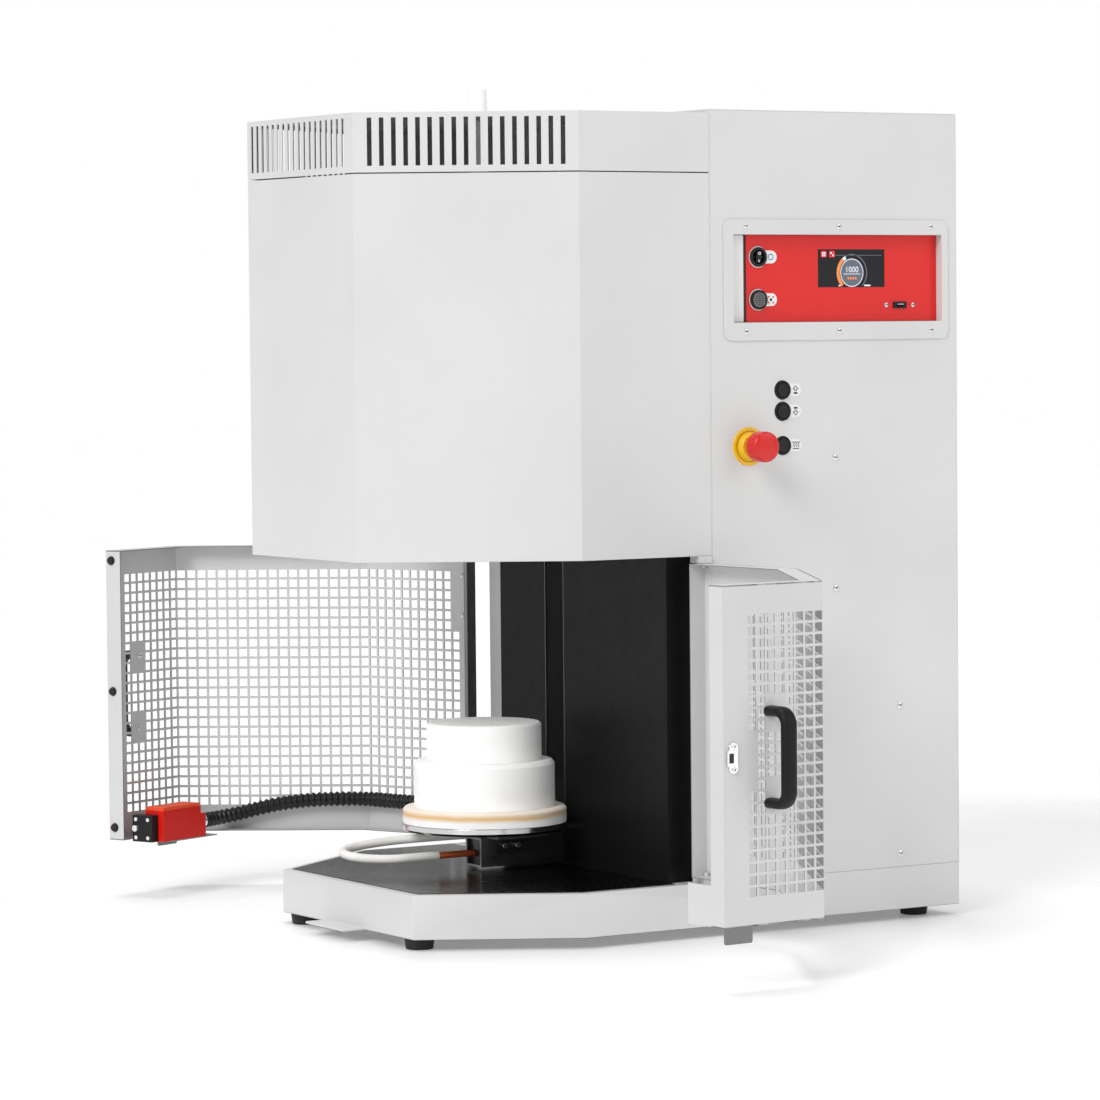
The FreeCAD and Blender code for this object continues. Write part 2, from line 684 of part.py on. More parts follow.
# Heating elements: upright hairpins hanging from the roof block round the bore
for i in range(SIZES["coil_count"]):
    a, b = (f"(45 + {90 * i} + {turn})" for turn in (-12, 12))
    legs = []
    for j, angle in enumerate((a, b)):
        x = f"axis_x + coil_radius * cos({angle})"
        y = f"axis_y + coil_radius * sin({angle})"
        legs.append(rod(f"leg_{i}{j}", x, y, "coil_low", "coil_rod", "brick_top + 30 - coil_low"))
    bridge = doc.addObject("Part::Cylinder", f"bridge_{i}")
    bind(bridge, "Radius", "coil_rod - 0.6")
    bind(bridge, "Height", "2 * coil_radius * sin(12)")
    spin = FreeCAD.Rotation(FreeCAD.Vector(0, 0, 1), 135 + 90 * i)
    bridge.Placement = FreeCAD.Placement(FreeCAD.Vector(), spin.multiply(TURNS["x"]))
    bind(bridge, "Placement.Base.x", f"axis_x + coil_radius * cos({a})")
    bind(bridge, "Placement.Base.y", f"axis_y + coil_radius * sin({a})")
    bind(bridge, "Placement.Base.z", "coil_low + coil_rod")
    coils.append(fuse(f"hairpin_{i}", *legs, bridge))
finish(group("heating_elements", *coils), "heating_elements")
couple = fuse(
    "couple_solid",
    rod("couple_sheath", "axis_x + 50", "axis_y", "chamber_top - 60", "4", "brick_top - chamber_top + 60"),
    rod("couple_head", "axis_x + 50", "axis_y", "brick_top", "14", "26"),
)
finish(couple, "thermocouple")

# Hearth: ceramic plug in three steps on a steel tray
finish(revolved("hearth_cap", [
    ("0", "step_top"),
    ("plug_radius", "step_top"),
    ("plug_radius", "plug_top - 3"),
    ("plug_radius - 3", "plug_top"),
    ("0", "plug_top"),
], "axis_x", "axis_y"), "hearth_cap")
finish(revolved("hearth_step", [
    ("0", "flange_top"),
    ("step_radius", "flange_top"),
    ("step_radius", "step_top - 5"),
    ("step_radius - 4", "step_top"),
    ("0", "step_top"),
], "axis_x", "axis_y"), "hearth_step")
finish(revolved("hearth_flange", [
    ("0", "hearth_low"),
    ("flange_radius", "hearth_low"),
    ("flange_radius", "flange_top - 3"),
    ("flange_radius - 3", "flange_top"),
    ("0", "flange_top"),
], "axis_x", "axis_y"), "hearth_flange")
finish(revolved("hearth_tray", [
    ("0", "tray_low"),
    ("tray_radius - 4", "tray_low"),
    ("tray_radius", "tray_low + 3"),
    ("tray_radius", "hearth_low"),
    ("0", "hearth_low"),
], "axis_x", "axis_y"), "hearth_tray")

# Lift arm: a square tube from under the tray to the carriage, with two lugs and the tray bolts
ARM_Y = "(axis_y - arm_size / 2)"
CARRIAGE_X = "(rail_x - carriage_depth / 2)"
arm_outer = box("arm_outer", "arm_end_x", ARM_Y, "arm_low", f"{CARRIAGE_X} - arm_end_x", "arm_size", "arm_size")
arm_inner = box("arm_inner", "arm_end_x - 1", f"{ARM_Y} + arm_wall", "arm_low + arm_wall",
                f"{CARRIAGE_X} - arm_end_x + 2", "arm_size - 2 * arm_wall", "arm_size - 2 * arm_wall")
arm_tube = cut("arm_tube", arm_outer, arm_inner)
saddle = box("saddle", "axis_x - 12", "axis_y - 55", "arm_low + arm_size", "80", "110",
             "tray_low - arm_low - arm_size")
lugs = [
    box("lug_front", "axis_x + 6", f"{ARM_Y} - 4", "arm_low + 18", "40", "4", "tray_low - arm_low - 18"),
    box("lug_back", "axis_x + 6", f"{ARM_Y} + arm_size", "arm_low + 18", "40", "4", "tray_low - arm_low - 18"),
]
rod_block = box("rod_block", "arm_end_x + 6", f"{ARM_Y} + arm_wall", "arm_low + arm_wall", "8", "arm_size - 2 * arm_wall",
                "arm_size - 2 * arm_wall")
rod_hole = rod("rod_hole", "arm_end_x", "axis_y + 11", "95", "4.5", "20", "x")
finish(cut("lift_arm", fuse("lift_arm_solid", arm_tube, saddle, rod_block, *lugs), rod_hole), "lift_arm")
bolts = []
for i, x in enumerate(("axis_x + 16", "axis_x + 36")):
    for j, (y, way) in enumerate(((f"{ARM_Y} - 9", 1), (f"{ARM_Y} + arm_size + 4", 1))):
        bolts.append(rod(f"lug_bolt_{i}{j}", x, y, "arm_low + 28", "4.5", "5", "y"))
finish(group("lug_bolts", *bolts), "lug_bolts")

# Carriage on two upright guide rods, driven by a central screw
carriage_block = box("carriage_block", CARRIAGE_X, "axis_y - carriage_half", "arm_low - 0", "carriage_depth",
                     "2 * carriage_half", "carriage_height")
carriage_bores = [
    rod("bore_front", "rail_x", "axis_y - rod_pitch", "arm_low - 1", "rod_radius + lift_play", "carriage_height + 2"),
    rod("bore_back", "rail_x", "axis_y + rod_pitch", "arm_low - 1", "rod_radius + lift_play", "carriage_height + 2"),
    rod("bore_screw", "rail_x", "axis_y", "arm_low - 1", "screw_radius + lift_play", "carriage_height + 2"),
]
finish(cut("lift_carriage", carriage_block, *carriage_bores), "lift_carriage")
finish(group(
    "guide_rods",
    rod("guide_front", "rail_x", "axis_y - rod_pitch", "deck_top", "rod_radius", "plate_high + 8 - deck_top"),
    rod("guide_back", "rail_x", "axis_y + rod_pitch", "deck_top", "rod_radius", "plate_high + 8 - deck_top"),
), "guide_rods")
plate = box("plate", "head_front + skin", "axis_y - 90", "plate_high", "160", "180", "8")
plate_bores = [
    rod("plate_front", "rail_x", "axis_y - rod_pitch", "plate_high - 1", "rod_radius", "10"),
    rod("plate_back", "rail_x", "axis_y + rod_pitch", "plate_high - 1", "rod_radius", "10"),
    rod("plate_screw", "rail_x", "axis_y", "plate_high - 1", "screw_radius + lift_play", "10"),
]
finish(cut("bearing_plate", plate, *plate_bores), "bearing_plate")
screw = fuse(
    "screw_solid",
    rod("screw_rod", "rail_x", "axis_y", "deck_top + play", "screw_radius", "plate_high + 34 - deck_top - play"),
    rod("screw_gear", "rail_x", "axis_y", "plate_high + 8 + play", "screw_radius + 12", "14"),
)
finish(screw, "lead_screw")
motor = fuse(
    "motor_solid",
    box("motor_gearbox", "rail_x - 35", "axis_y - 35", "plate_high + 40", "95", "70", "40"),
    rod("motor_can", "rail_x + 30", "axis_y", "plate_high + 80", "28", "90"),
    box("motor_leg_front", "rail_x + 40", "axis_y - 35", "plate_high + 8", "14", "20", "32"),
    box("motor_leg_back", "rail_x + 40", "axis_y + 15", "plate_high + 8", "14", "20", "32"),
)
finish(cut("lift_motor", motor, rod("motor_bore", "rail_x", "axis_y", "plate_high + 30", "screw_radius + lift_play",
                                    "30")), "lift_motor")

# Tower: a folded black cover over the carriage, with the slot that the arm runs in
tower_points = [
    ("head_front", "tower_front"),
    ("tower_x", "tower_front"),
    ("tower_x", "tower_back"),
    ("head_front", "tower_end"),
    ("head_front", "tower_end - skin * 1.2"),
    ("tower_x + skin", "tower_back - skin * 0.2"),
    ("tower_x + skin", "tower_front + skin"),
    ("head_front", "tower_front + skin"),
]
tower = prism("tower", tower_points, "deck_top", "head_bottom - deck_top")
tower_slot = box("tower_slot", "tower_x - 3", f"{ARM_Y} - slot_play", "arm_low - 3", "10",
                 "arm_size + 2 * slot_play", "slot_top - arm_low")
finish(cut("tower_cover", tower, tower_slot), "tower_cover")

# Cabinet contents: transformer, power unit, control board, fan and supply inlet
core = box("core", "head_front + 190", "120", "deck_top", "150", "120", "140")
core_windows = [
    box("core_window_0", "head_front + 215", "119", "deck_top + 30", "36", "122", "80"),
    box("core_window_1", "head_front + 279", "119", "deck_top + 30", "36", "122", "80"),
]
winding = box("winding", "head_front + 223", "108", "deck_top + 34", "84", "144", "72")
finish(fuse("transformer", cut("core_cut", core, *core_windows), winding), "transformer")
fins = [box("sink_base", "head_front + cab_width - skin - 8", "180", "650", "8", "160", "180")]
for i in range(7):
    fins.append(box(f"fin_{i}", "head_front + cab_width - skin - 48", f"184 + {i} * 24", "650", "40", "4", "180"))
finish(fuse("power_unit", *fins), "power_unit")
board = fuse(
    "board_solid",
    box("board_sheet", "recess_x + 60", "60", "recess_low - 30", "200", "2", "150"),
    box("board_post_0", "recess_x + 64", "skin", "recess_low - 28", "6", "60 - skin", "6"),
    box("board_post_1", "recess_x + 248", "skin", "recess_low - 28", "6", "60 - skin", "6"),
    box("board_relay", "recess_x + 80", "62", "recess_low", "60", "24", "40"),
)
finish(board, "control_board")
fan_frame = cut(
    "fan_frame",
    box("fan_block", f"{FAN_X} - 60", "cab_depth - skin - 25", f"{FAN_Z} - 60", "120", "25", "120"),
    rod("fan_duct", FAN_X, "cab_depth - skin - 26", FAN_Z, "56", "30", "y"),
)
fan_arms = [
    box("fan_arm_x", f"{FAN_X} - 57", "cab_depth - skin - 3", f"{FAN_Z} - 2", "114", "3", "4"),
    box("fan_arm_z", f"{FAN_X} - 2", "cab_depth - skin - 3", f"{FAN_Z} - 57", "4", "3", "114"),
    rod("fan_motor", FAN_X, "cab_depth - skin - 8", FAN_Z, "16", "8", "y"),
    rod("fan_pin", FAN_X, "cab_depth - skin - 20", FAN_Z, "2", "13", "y"),
]
finish(fuse("fan_housing", fan_frame, *fan_arms), "fan_housing")
blades = [rod("fan_hub", FAN_X, "cab_depth - skin - 22", FAN_Z, "18", "13", "y")]
for i in range(5):
    blade = doc.addObject("Part::Box", f"fan_blade_{i}")
    bind(blade, "Length", "52")
    bind(blade, "Width", "9")
    bind(blade, "Height", "2.5")
    blade.Placement = FreeCAD.Placement(FreeCAD.Vector(), FreeCAD.Rotation(FreeCAD.Vector(0, 1, 0), 72 * i))
    bind(blade, "Placement.Base.x", FAN_X)
    bind(blade, "Placement.Base.y", "cab_depth - skin - 20")
    bind(blade, "Placement.Base.z", FAN_Z)
    blades.append(blade)
finish(cut("fan_rotor", fuse("fan_blades", *blades),
           rod("fan_bore", FAN_X, "cab_depth - skin - 21", FAN_Z, "2.05", "14", "y")), "fan_rotor")
inlet = fuse(
    "inlet_solid",
    box("inlet_plate", "head_front + cab_width - 128", "cab_depth", "deck_top + 52", "66", "3", "66"),
    box("inlet_body", "head_front + cab_width - 119", "cab_depth - 30", "deck_top + 61", "48", "30", "48"),
)
finish(cut("mains_inlet", inlet, rod("inlet_well", "head_front + cab_width - 95", "cab_depth - 20", "deck_top + 85",
                                     "20", "24", "y")), "mains_inlet")

# Guards: each a bent sheet with lips all round and punched windows, drawn closed
GX0 = "guard_x"
GX2 = "(guard_x - guard_front)"
GX3 = "(guard_x - guard_front - guard_slant * cos(guard_angle))"
GY0 = "(0 - guard_proud)"
GY3 = "(guard_slant * sin(guard_angle) - guard_proud)"
GY4 = "(base_depth / 2 - guard_gap / 2)"


def flip(y, rear):
    """A Y expression, mirrored to the machine's back half for the rear guard."""
    return f"(base_depth - ({y}))" if rear else f"({y})"


def guard_box(name, rear, x, y, z, dx, dy, dz):
    """A box drawn on the front guard, mirrored for the rear one."""
    return box(name, x, f"base_depth - ({y}) - ({dy})" if rear else y, z, dx, dy, dz)


def guard_outline(rear, depth):
    """The bent outline of a guard and the same outline set in by a depth."""
    points = [
        (GX0, f"{GY0} + guard_lip"),
        (GX0, GY0),
        (GX2, GY0),
        (GX3, GY3),
        (GX3, GY4),
        (f"{GX3} + guard_lip", GY4),
        (f"{GX3} + guard_lip", f"{GY4} - {depth}"),
        (f"{GX3} + {depth}", f"{GY4} - {depth}"),
        (f"{GX3} + {depth}", f"{GY3} + {depth} * tan(45 - guard_angle / 2)"),
        (f"{GX2} + {depth} * tan(guard_angle / 2)", f"{GY0} + {depth}"),
        (f"{GX0} - {depth}", f"{GY0} + {depth}"),
        (f"{GX0} - {depth}", f"{GY0} + guard_lip"),
    ]
    return [(x, flip(y, rear)) for x, y in points]


def guard_lip_outline(rear):
    """The band of a guard's top and bottom lips."""
    points = [
        (GX0, GY0),
        (GX2, GY0),
        (GX3, GY3),
        (GX3, GY4),
        (f"{GX3} + guard_lip", GY4),
        (f"{GX3} + guard_lip", f"{GY3} + guard_lip * tan(45 - guard_angle / 2)"),
        (f"{GX2} + guard_lip * tan(guard_angle / 2)", f"{GY0} + guard_lip"),
        (GX0, f"{GY0} + guard_lip"),
    ]
    return [(x, flip(y, rear)) for x, y in points]


def punch(name, columns, x, y, turn):
    """A grid of square punches standing on a wall: columns along it, rows up it."""
    body = doc.addObject("PartDesign::Body", name)
    body.AllowCompound = True
    square = polygon_sketch(body, name + "_square", origin_plane(body, "XZ_Plane"), [
        ("0", "0"), ("mesh_hole", "0"), ("mesh_hole", "mesh_hole"), ("0", "mesh_hole"),
    ])
    pad = body.newObject("PartDesign::Pad", name + "_punch")
    pad.Profile = square
    pad.Midplane = True
    bind(pad, "Length", "6 * skin")
    grid = body.newObject("PartDesign::MultiTransform", name + "_grid")
    grid.Originals = [pad]
    across = body.newObject("PartDesign::LinearPattern", name + "_across")
    across.Direction = (square, ["H_Axis"])
    bind(across, "Occurrences", columns)
    bind(across, "Length", f"mesh_pitch * ({columns} - 1)")
    upward = body.newObject("PartDesign::LinearPattern", name + "_up")
    upward.Direction = (square, ["V_Axis"])
    bind(upward, "Occurrences", "mesh_rows")
    bind(upward, "Length", "mesh_pitch * (mesh_rows - 1)")
    grid.Transformations = [across, upward]
    body.Tip = grid
    body.Placement = FreeCAD.Placement(FreeCAD.Vector(), FreeCAD.Rotation(FreeCAD.Vector(0, 0, 1), 30))
    bind(body, "Placement.Rotation.Angle", turn)
    bind(body, "Placement.Base.x", x)
    bind(body, "Placement.Base.y", y)
    bind(body, "Placement.Base.z", "mesh_low")
    return body


HANDLE_Y = f"({GY3} + handle_along)"
for rear in (False, True):
    side = "rear" if rear else "front"
    wall = prism(f"{side}_wall", guard_outline(rear, "skin"), "guard_low", "guard_high - guard_low")
    low_lip = prism(f"{side}_low_lip", guard_lip_outline(rear), "guard_low", "skin")
    high_lip = prism(f"{side}_high_lip", guard_lip_outline(rear), "guard_high - skin", "skin")
    tongue = guard_box(f"{side}_tongue", rear, GX3, f"{GY3} + 6" if rear else f"{GY4} - tongue_width",
                       "guard_low - tongue_drop", "skin", "tongue_width", "tongue_drop + 1")
    pieces = [wall, low_lip, high_lip, tongue]
    if not rear:
        pieces.append(box("front_skirt", GX3, f"{GY4} - skin", "guard_low", "guard_skirt", "skin", "skirt_high"))
    else:
        pieces.append(guard_box("switch_shelf", rear, GX3, f"{GY3} + 12", "switch_low - switch_plate",
                                "switch_in + 46", "100", "switch_plate"))
        pieces.append(box("conduit_clip", "clip_x", "base_depth + guard_proud - 22", "110", "8", "21", "30"))
    solid = fuse(f"{side}_guard_solid", *pieces)
    pivot_y = flip(f"{GY0} + pivot_inset", rear)
    tools = [rod(f"{side}_pivot_hole", "guard_x - pivot_inset", pivot_y, "guard_low - 2", "pivot_radius + 0.08",
                 "guard_high - guard_low + 4")]
    span_front = "((guard_front - mesh_front * mesh_pitch + mesh_pitch - mesh_hole) / 2)"
    span_slant = "((guard_slant - mesh_slant * mesh_pitch + mesh_pitch - mesh_hole) / 2)"
    tools.append(punch(f"{side}_punch_front", "mesh_front", f"{GX2} + {span_front}", flip(GY0, rear), "0"))
    if rear:
        tools.append(punch("rear_punch_slant", "mesh_slant",
                           f"{GX3} + {span_slant} * cos(guard_angle)",
                           f"base_depth - {GY3} + {span_slant} * sin(guard_angle)", "guard_angle"))
        tools.append(punch("rear_punch_side", "mesh_side", GX3,
                           f"base_depth - {GY3} - mesh_edge - mesh_pitch * (mesh_side - 1) - mesh_hole", "90"))
    else:
        tools.append(punch("front_punch_slant", "mesh_slant",
                           f"{GX3} + {span_slant} * cos(guard_angle)",
                           f"{GY3} - {span_slant} * sin(guard_angle)", "0 - guard_angle"))
        tools.append(punch("front_punch_side", "mesh_side", GX3, f"{GY3} + mesh_edge", "90"))
    guard_finish(cut(f"{side}_guard", solid, *tools), f"{side}_guard", rear)

    # Bridge handle: an outward U with cut corners, on the outside of the side wall
    half = "(handle_span / 2)"
    grip = prism(f"{side}_grip", [
        (GX3, f"handle_middle - {half} - handle_bar / 2"),
        (f"{GX3} - handle_reach + 10", f"handle_middle - {half} - handle_bar / 2"),
        (f"{GX3} - handle_reach", f"handle_middle - {half} - handle_bar / 2 + 10"),
        (f"{GX3} - handle_reach", f"handle_middle + {half} + handle_bar / 2 - 10"),
        (f"{GX3} - handle_reach + 10", f"handle_middle + {half} + handle_bar / 2"),
        (GX3, f"handle_middle + {half} + handle_bar / 2"),
        (GX3, f"handle_middle + {half} - handle_bar / 2"),
        (f"{GX3} - handle_reach + handle_bar + 3", f"handle_middle + {half} - handle_bar / 2"),
        (f"{GX3} - handle_reach + handle_bar", f"handle_middle + {half} - handle_bar / 2 - 3"),
        (f"{GX3} - handle_reach + handle_bar", f"handle_middle - {half} + handle_bar / 2 + 3"),
        (f"{GX3} - handle_reach + handle_bar + 3", f"handle_middle - {half} + handle_bar / 2"),
        (GX3, f"handle_middle - {half} + handle_bar / 2"),
    ], flip(f"{HANDLE_Y} + handle_bar" if rear else f"{HANDLE_Y} - handle_bar", rear), "2 * handle_bar", "XZ_Plane")
    guard_finish(grip, f"{side}_handle", rear)

# Front guard: the keeper of its catch, a chromed plate with two screws
keeper_y = f"({GY3} + keeper_along)"
guard_finish(fuse(
    "front_keeper",
    box("keeper_plate", f"{GX3} - 3", f"{keeper_y} - 7", "268", "3", "14", "38"),
    rod("keeper_screw_low", f"{GX3} - 5", keeper_y, "273", "3.5", "2", "x"),
    rod("keeper_screw_high", f"{GX3} - 5", keeper_y, "301", "3.5", "2", "x"),
), "front_keeper", False)

# Rear guard: rubber buffers on its free lip, a catch, the interlock switch with its gland and conduit
REAR_EDGE = f"(base_depth - {GY4})"
buffers = []
for i, (z, x) in enumerate((("481", "10"), ("294", "10"), ("99", "10"))):
    buffers.append(cone(f"buffer_{i}", f"{GX3} + {x}", f"{REAR_EDGE} - guard_gap + play", z, "buffer_radius - 1.5",
                        "buffer_radius", "guard_gap - play", "y"))
guard_finish(group("guard_buffers", *buffers), "guard_buffers", True)
guard_finish(box("catch_body", f"{GX3} + skin", f"{REAR_EDGE} + skin", "270", "14", "10", "40"), "guard_catch", True)
SWITCH_X = f"({GX3} + switch_in)"
SWITCH_Y = f"({REAR_EDGE} + switch_along)"
head_pieces = [box("interlock_head_box", SWITCH_X, SWITCH_Y, "switch_low", "36", "14", "38")]
for i in range(4):
    head_pieces.append(rod(f"interlock_screw_{i}", f"{SWITCH_X} + {7 + 22 * (i % 2)}", f"{SWITCH_Y} - 1.5",
                           f"switch_low + {6 + 26 * (i // 2)}", "2.8", "1.5", "y"))
head_pieces.append(rod("interlock_knob", f"{SWITCH_X} + 6", f"{SWITCH_Y} - 3", "switch_low + 19", "4.5", "3", "y"))
guard_finish(fuse("interlock_head", *head_pieces), "interlock_head", True)
guard_finish(fuse(
    "interlock_body",
    box("interlock_box", f"{SWITCH_X} + 12", f"{SWITCH_Y} + 14", "switch_low", "34", "95", "33"),
    box("interlock_upper", f"{SWITCH_X} + 12", f"{SWITCH_Y} + 14", "switch_low + 33", "34", "84", "11"),
    box("interlock_lid", f"{SWITCH_X} + 13", f"{SWITCH_Y} + 15", "switch_low + 44", "32", "82", "5"),
), "interlock_body", True)
guard_finish(rod("conduit_gland", f"{SWITCH_X} + 29", f"{SWITCH_Y} + 109", "switch_low + 20", "12", "10", "y"),
             "conduit_gland", True)

# Pivots: blocks on the plinth and under the head, each with a pin in the guard's lip
pivots = []
for rear in (False, True):
    side = "rear" if rear else "front"
    x = "(guard_x - pivot_inset)"
    y = flip(f"{GY0} + pivot_inset", rear)
    for level, low, high, pin in (("low", "deck_top", "guard_low - play", "guard_low - play"),
                                  ("high", "guard_high + play", "head_bottom", "guard_high - 6")):
        block = guard_box(f"pivot_{side}_{level}", rear, f"{x} - 8", f"{GY0} - 1", low, "16", "28", f"{high} - ({low})")
        pivot = rod(f"pin_{side}_{level}", x, y, pin, "pivot_radius", "6 + play")
        pivots.append(fuse(f"pivot_{side}_{level}_whole", block, pivot))
finish(group("guard_pivots", *pivots), "guard_pivots")


def routed_tube(points, radius, label, smallest):
    """A plain round tube of straight runs joined by tangent arcs through hand-chosen points."""
    way = [FreeCAD.Vector(*p) for p in points]
    edges = []
    start = way[0]
    length = 0.0
    bends = []
    for i in range(1, len(way) - 1):
        back = way[i - 1] - way[i]
        ahead = way[i + 1] - way[i]
        shorter = min(back.Length, ahead.Length)
        turn = math.pi - back.getAngle(ahead)
        reach = 0.45 * shorter
        bend = reach / math.tan(turn / 2)
        bends.append(round(bend, 1))
        back.normalize()
        ahead.normalize()
        first = way[i] + back * reach
        last = way[i] + ahead * reach
        inward = (back + ahead).normalize()
        middle = way[i] + inward * (bend / math.cos(turn / 2) - bend)
        edges.append(Part.LineSegment(start, first).toShape())
        edges.append(Part.Arc(first, middle, last).toShape())
        length += (first - start).Length + bend * turn
        start = last
    edges.append(Part.LineSegment(start, way[-1]).toShape())
    length += (way[-1] - start).Length
    path = Part.Wire(edges)
    face = Part.Wire(Part.makeCircle(radius, way[0], way[1] - way[0]))
    tube = path.makePipeShell([face], True, True)
    ratio = tube.Volume / (math.pi * radius ** 2 * length)
    print(f"{label}: length {length:.1f}, bend radii {bends}, volume ratio {ratio:.4f}")
    if min(bends) < smallest:
        print(f"{label}: a bend is tighter than {smallest}")
    piece = doc.addObject("Part::Feature", label + "_tube")
    piece.Shape = tube
    return piece


# Hearth cable: a copper rod in the arm's open end and a white sleeved loop back under the tray
ROD_Y = "(axis_y + 11)"
finish(rod("hearth_rod", "arm_end_x - 50", ROD_Y, "95", "4.5", "64", "x"), "hearth_rod")
loop_start = (number("arm_end_x - 50"), number(ROD_Y), 95.0)
loop_steps = [
    (0, 0, 0),
    (-38, 0, 0),
    (-68, 5, -1),
    (-99, 27, 0),
    (-112, 66, 3),
    (-89, 99, 6),
    (-48, 103, 10),
    (-12, 89, 14),
    (16, 68, 17),
    (44, 44, 20),
    (73, 17, 23),
]
loop_points = [tuple(a + b for a, b in zip(loop_start, step)) for step in loop_steps]
finish(routed_tube(loop_points, 6.0, "hearth_cable", 36.0), "hearth_cable")

# Interlock conduit: from the gland round the fold and along the slanted wall to its clip
gland_end = (number(f"{SWITCH_X} + 29"), number(f"{SWITCH_Y} + 119"), number("switch_low + 20"))
conduit_steps = [
    (0, 0, 0),
    (0, 20, 0),
    (4.96, 39.4, 1.4),
    (14.6, 56.9, 4.2),
    (28.2, 71.5, 8.4),
    (55.2, 88.8, 16.4),
    (92.2, 112.5, 23.4),
    (132.7, 138.3, 25.9),
    (172.8, 164, 25.9),
    (222.8, 164, 25),
    (275, 164.3, 24.5),
]
conduit_points = [tuple(a + b for a, b in zip(gland_end, step)) for step in conduit_steps]
conduit_points.append((number("clip_x"), conduit_points[-1][1], conduit_points[-1][2]))
guard_finish(routed_tube(conduit_points, 11.0, "interlock_conduit", 66.0), "interlock_conduit", True)

doc.recompute()

# Every object is sound, and every piece is a valid solid, before anything is written
broken = [item.Name for item in doc.Objects if "Invalid" in item.State or "Error" in item.State]
if broken:
    raise SystemExit("not built: " + ", ".join(broken))
for piece in NODES:
    if piece.Shape.isNull() or not piece.Shape.isValid() or not piece.Shape.Solids:
        raise SystemExit("not a valid solid: " + piece.Label)

os.makedirs("parts", exist_ok=True)
whole = FreeCAD.BoundBox()
for piece in NODES:
    whole.add(piece.Shape.BoundBox)
    piece.Shape.exportStep(f"parts/{piece.Label}.step")
print("pieces", len(NODES))
print("outline", [round(v, 2) for v in (whole.XMin, whole.XMax, whole.YMin, whole.YMax, whole.ZMin, whole.ZMax)])
print("middle", round(whole.Center.x, 3), round(whole.Center.y, 3))
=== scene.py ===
import json
import math

import bmesh
import bpy
from mathutils import Matrix, Vector

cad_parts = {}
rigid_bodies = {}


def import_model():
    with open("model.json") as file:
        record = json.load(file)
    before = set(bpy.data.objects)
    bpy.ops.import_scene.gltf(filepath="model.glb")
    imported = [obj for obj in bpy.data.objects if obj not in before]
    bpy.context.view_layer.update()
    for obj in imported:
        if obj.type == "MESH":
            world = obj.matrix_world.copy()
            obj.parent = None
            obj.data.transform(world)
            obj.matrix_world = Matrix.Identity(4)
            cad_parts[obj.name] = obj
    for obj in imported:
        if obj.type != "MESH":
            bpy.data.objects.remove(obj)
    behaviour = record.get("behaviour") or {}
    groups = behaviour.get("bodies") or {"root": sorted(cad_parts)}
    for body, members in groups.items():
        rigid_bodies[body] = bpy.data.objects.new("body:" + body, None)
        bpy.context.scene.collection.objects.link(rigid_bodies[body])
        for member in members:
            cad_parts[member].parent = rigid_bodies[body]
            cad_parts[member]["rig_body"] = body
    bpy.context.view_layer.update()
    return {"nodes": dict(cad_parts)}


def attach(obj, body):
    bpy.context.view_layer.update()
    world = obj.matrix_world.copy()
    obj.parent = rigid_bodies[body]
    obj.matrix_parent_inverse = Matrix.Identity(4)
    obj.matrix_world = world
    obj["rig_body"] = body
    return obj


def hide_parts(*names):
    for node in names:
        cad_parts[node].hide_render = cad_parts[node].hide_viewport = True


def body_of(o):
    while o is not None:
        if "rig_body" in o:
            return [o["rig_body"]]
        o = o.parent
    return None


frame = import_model()

# Machine sizes in millimetres, as the CAD has them
SHIFT = Vector((173.67, 231.647, 0))
SKIN = 1.5
DEPTH = 603.0
GUARD_X = 194.0
GUARD_PROUD = 6.0
GUARD_FRONT = 193.0
GUARD_SLANT = 280.0
GUARD_ANGLE = math.radians(32.6)
GUARD_LOW = 81.3
GUARD_HIGH = 495.3
GUARD_LIP = 26.0
PIVOT_INSET = 5.5
FRONT_OPEN = math.radians(94.0)
REAR_OPEN = math.radians(-66.5)
RECESS = 13.0

# Square holes in the guards: the columns stand a little wider than the rows, as in the photo
MESH_PITCH = 14.4
MESH_HOLE = 11.0
MESH_WIDE_PITCH = 14.85
MESH_WIDE_HOLE = 11.45
MESH_LOW = 117.0
MESH_ROWS = 24
MESH_START = 28.0
MESH_COLUMNS = 38


def at(x, y, z):
    """A machine point in millimetres as a scene point in metres."""
    return (Vector((x, y, z)) - SHIFT) * 0.001


# Camera at the photograph's place
YAW = 0.5533
PITCH = 0.0490
ROLL = 0.0095
CAMERA = (-3104.78, -4947.19, 806.2)
FOCAL_PIXELS = 4525.59
PHOTO_PIXELS = 1100
SENSOR = 36
forward = Vector((math.sin(YAW) * math.cos(PITCH), math.cos(YAW) * math.cos(PITCH), -math.sin(PITCH)))
level = Vector((math.cos(YAW), -math.sin(YAW), 0))
upright = level.cross(forward)
right = level * math.cos(ROLL) - upright * math.sin(ROLL)
up = level * math.sin(ROLL) + upright * math.cos(ROLL)
camera_data = bpy.data.cameras.new("camera")
camera_data.sensor_width = SENSOR
camera_data.lens = SENSOR * FOCAL_PIXELS / PHOTO_PIXELS
camera_data.clip_end = 60
camera = bpy.data.objects.new("camera", camera_data)
bpy.context.collection.objects.link(camera)
camera.matrix_world = (Matrix.Translation(at(*CAMERA))
                       @ Matrix((right, up, -forward)).transposed().to_4x4())
bpy.context.scene.camera = camera


# Materials
def shader(name, colour, rough, metal=0.0, coat=0.0):
    material = bpy.data.materials.new(name)
    material.use_nodes = True
    surface = material.node_tree.nodes["Principled BSDF"]
    surface.inputs["Base Color"].default_value = (*colour, 1)
    surface.inputs["Roughness"].default_value = rough
    surface.inputs["Metallic"].default_value = metal
    surface.inputs["Coat Weight"].default_value = coat
    surface.inputs["Coat Roughness"].default_value = 0.15
    return material


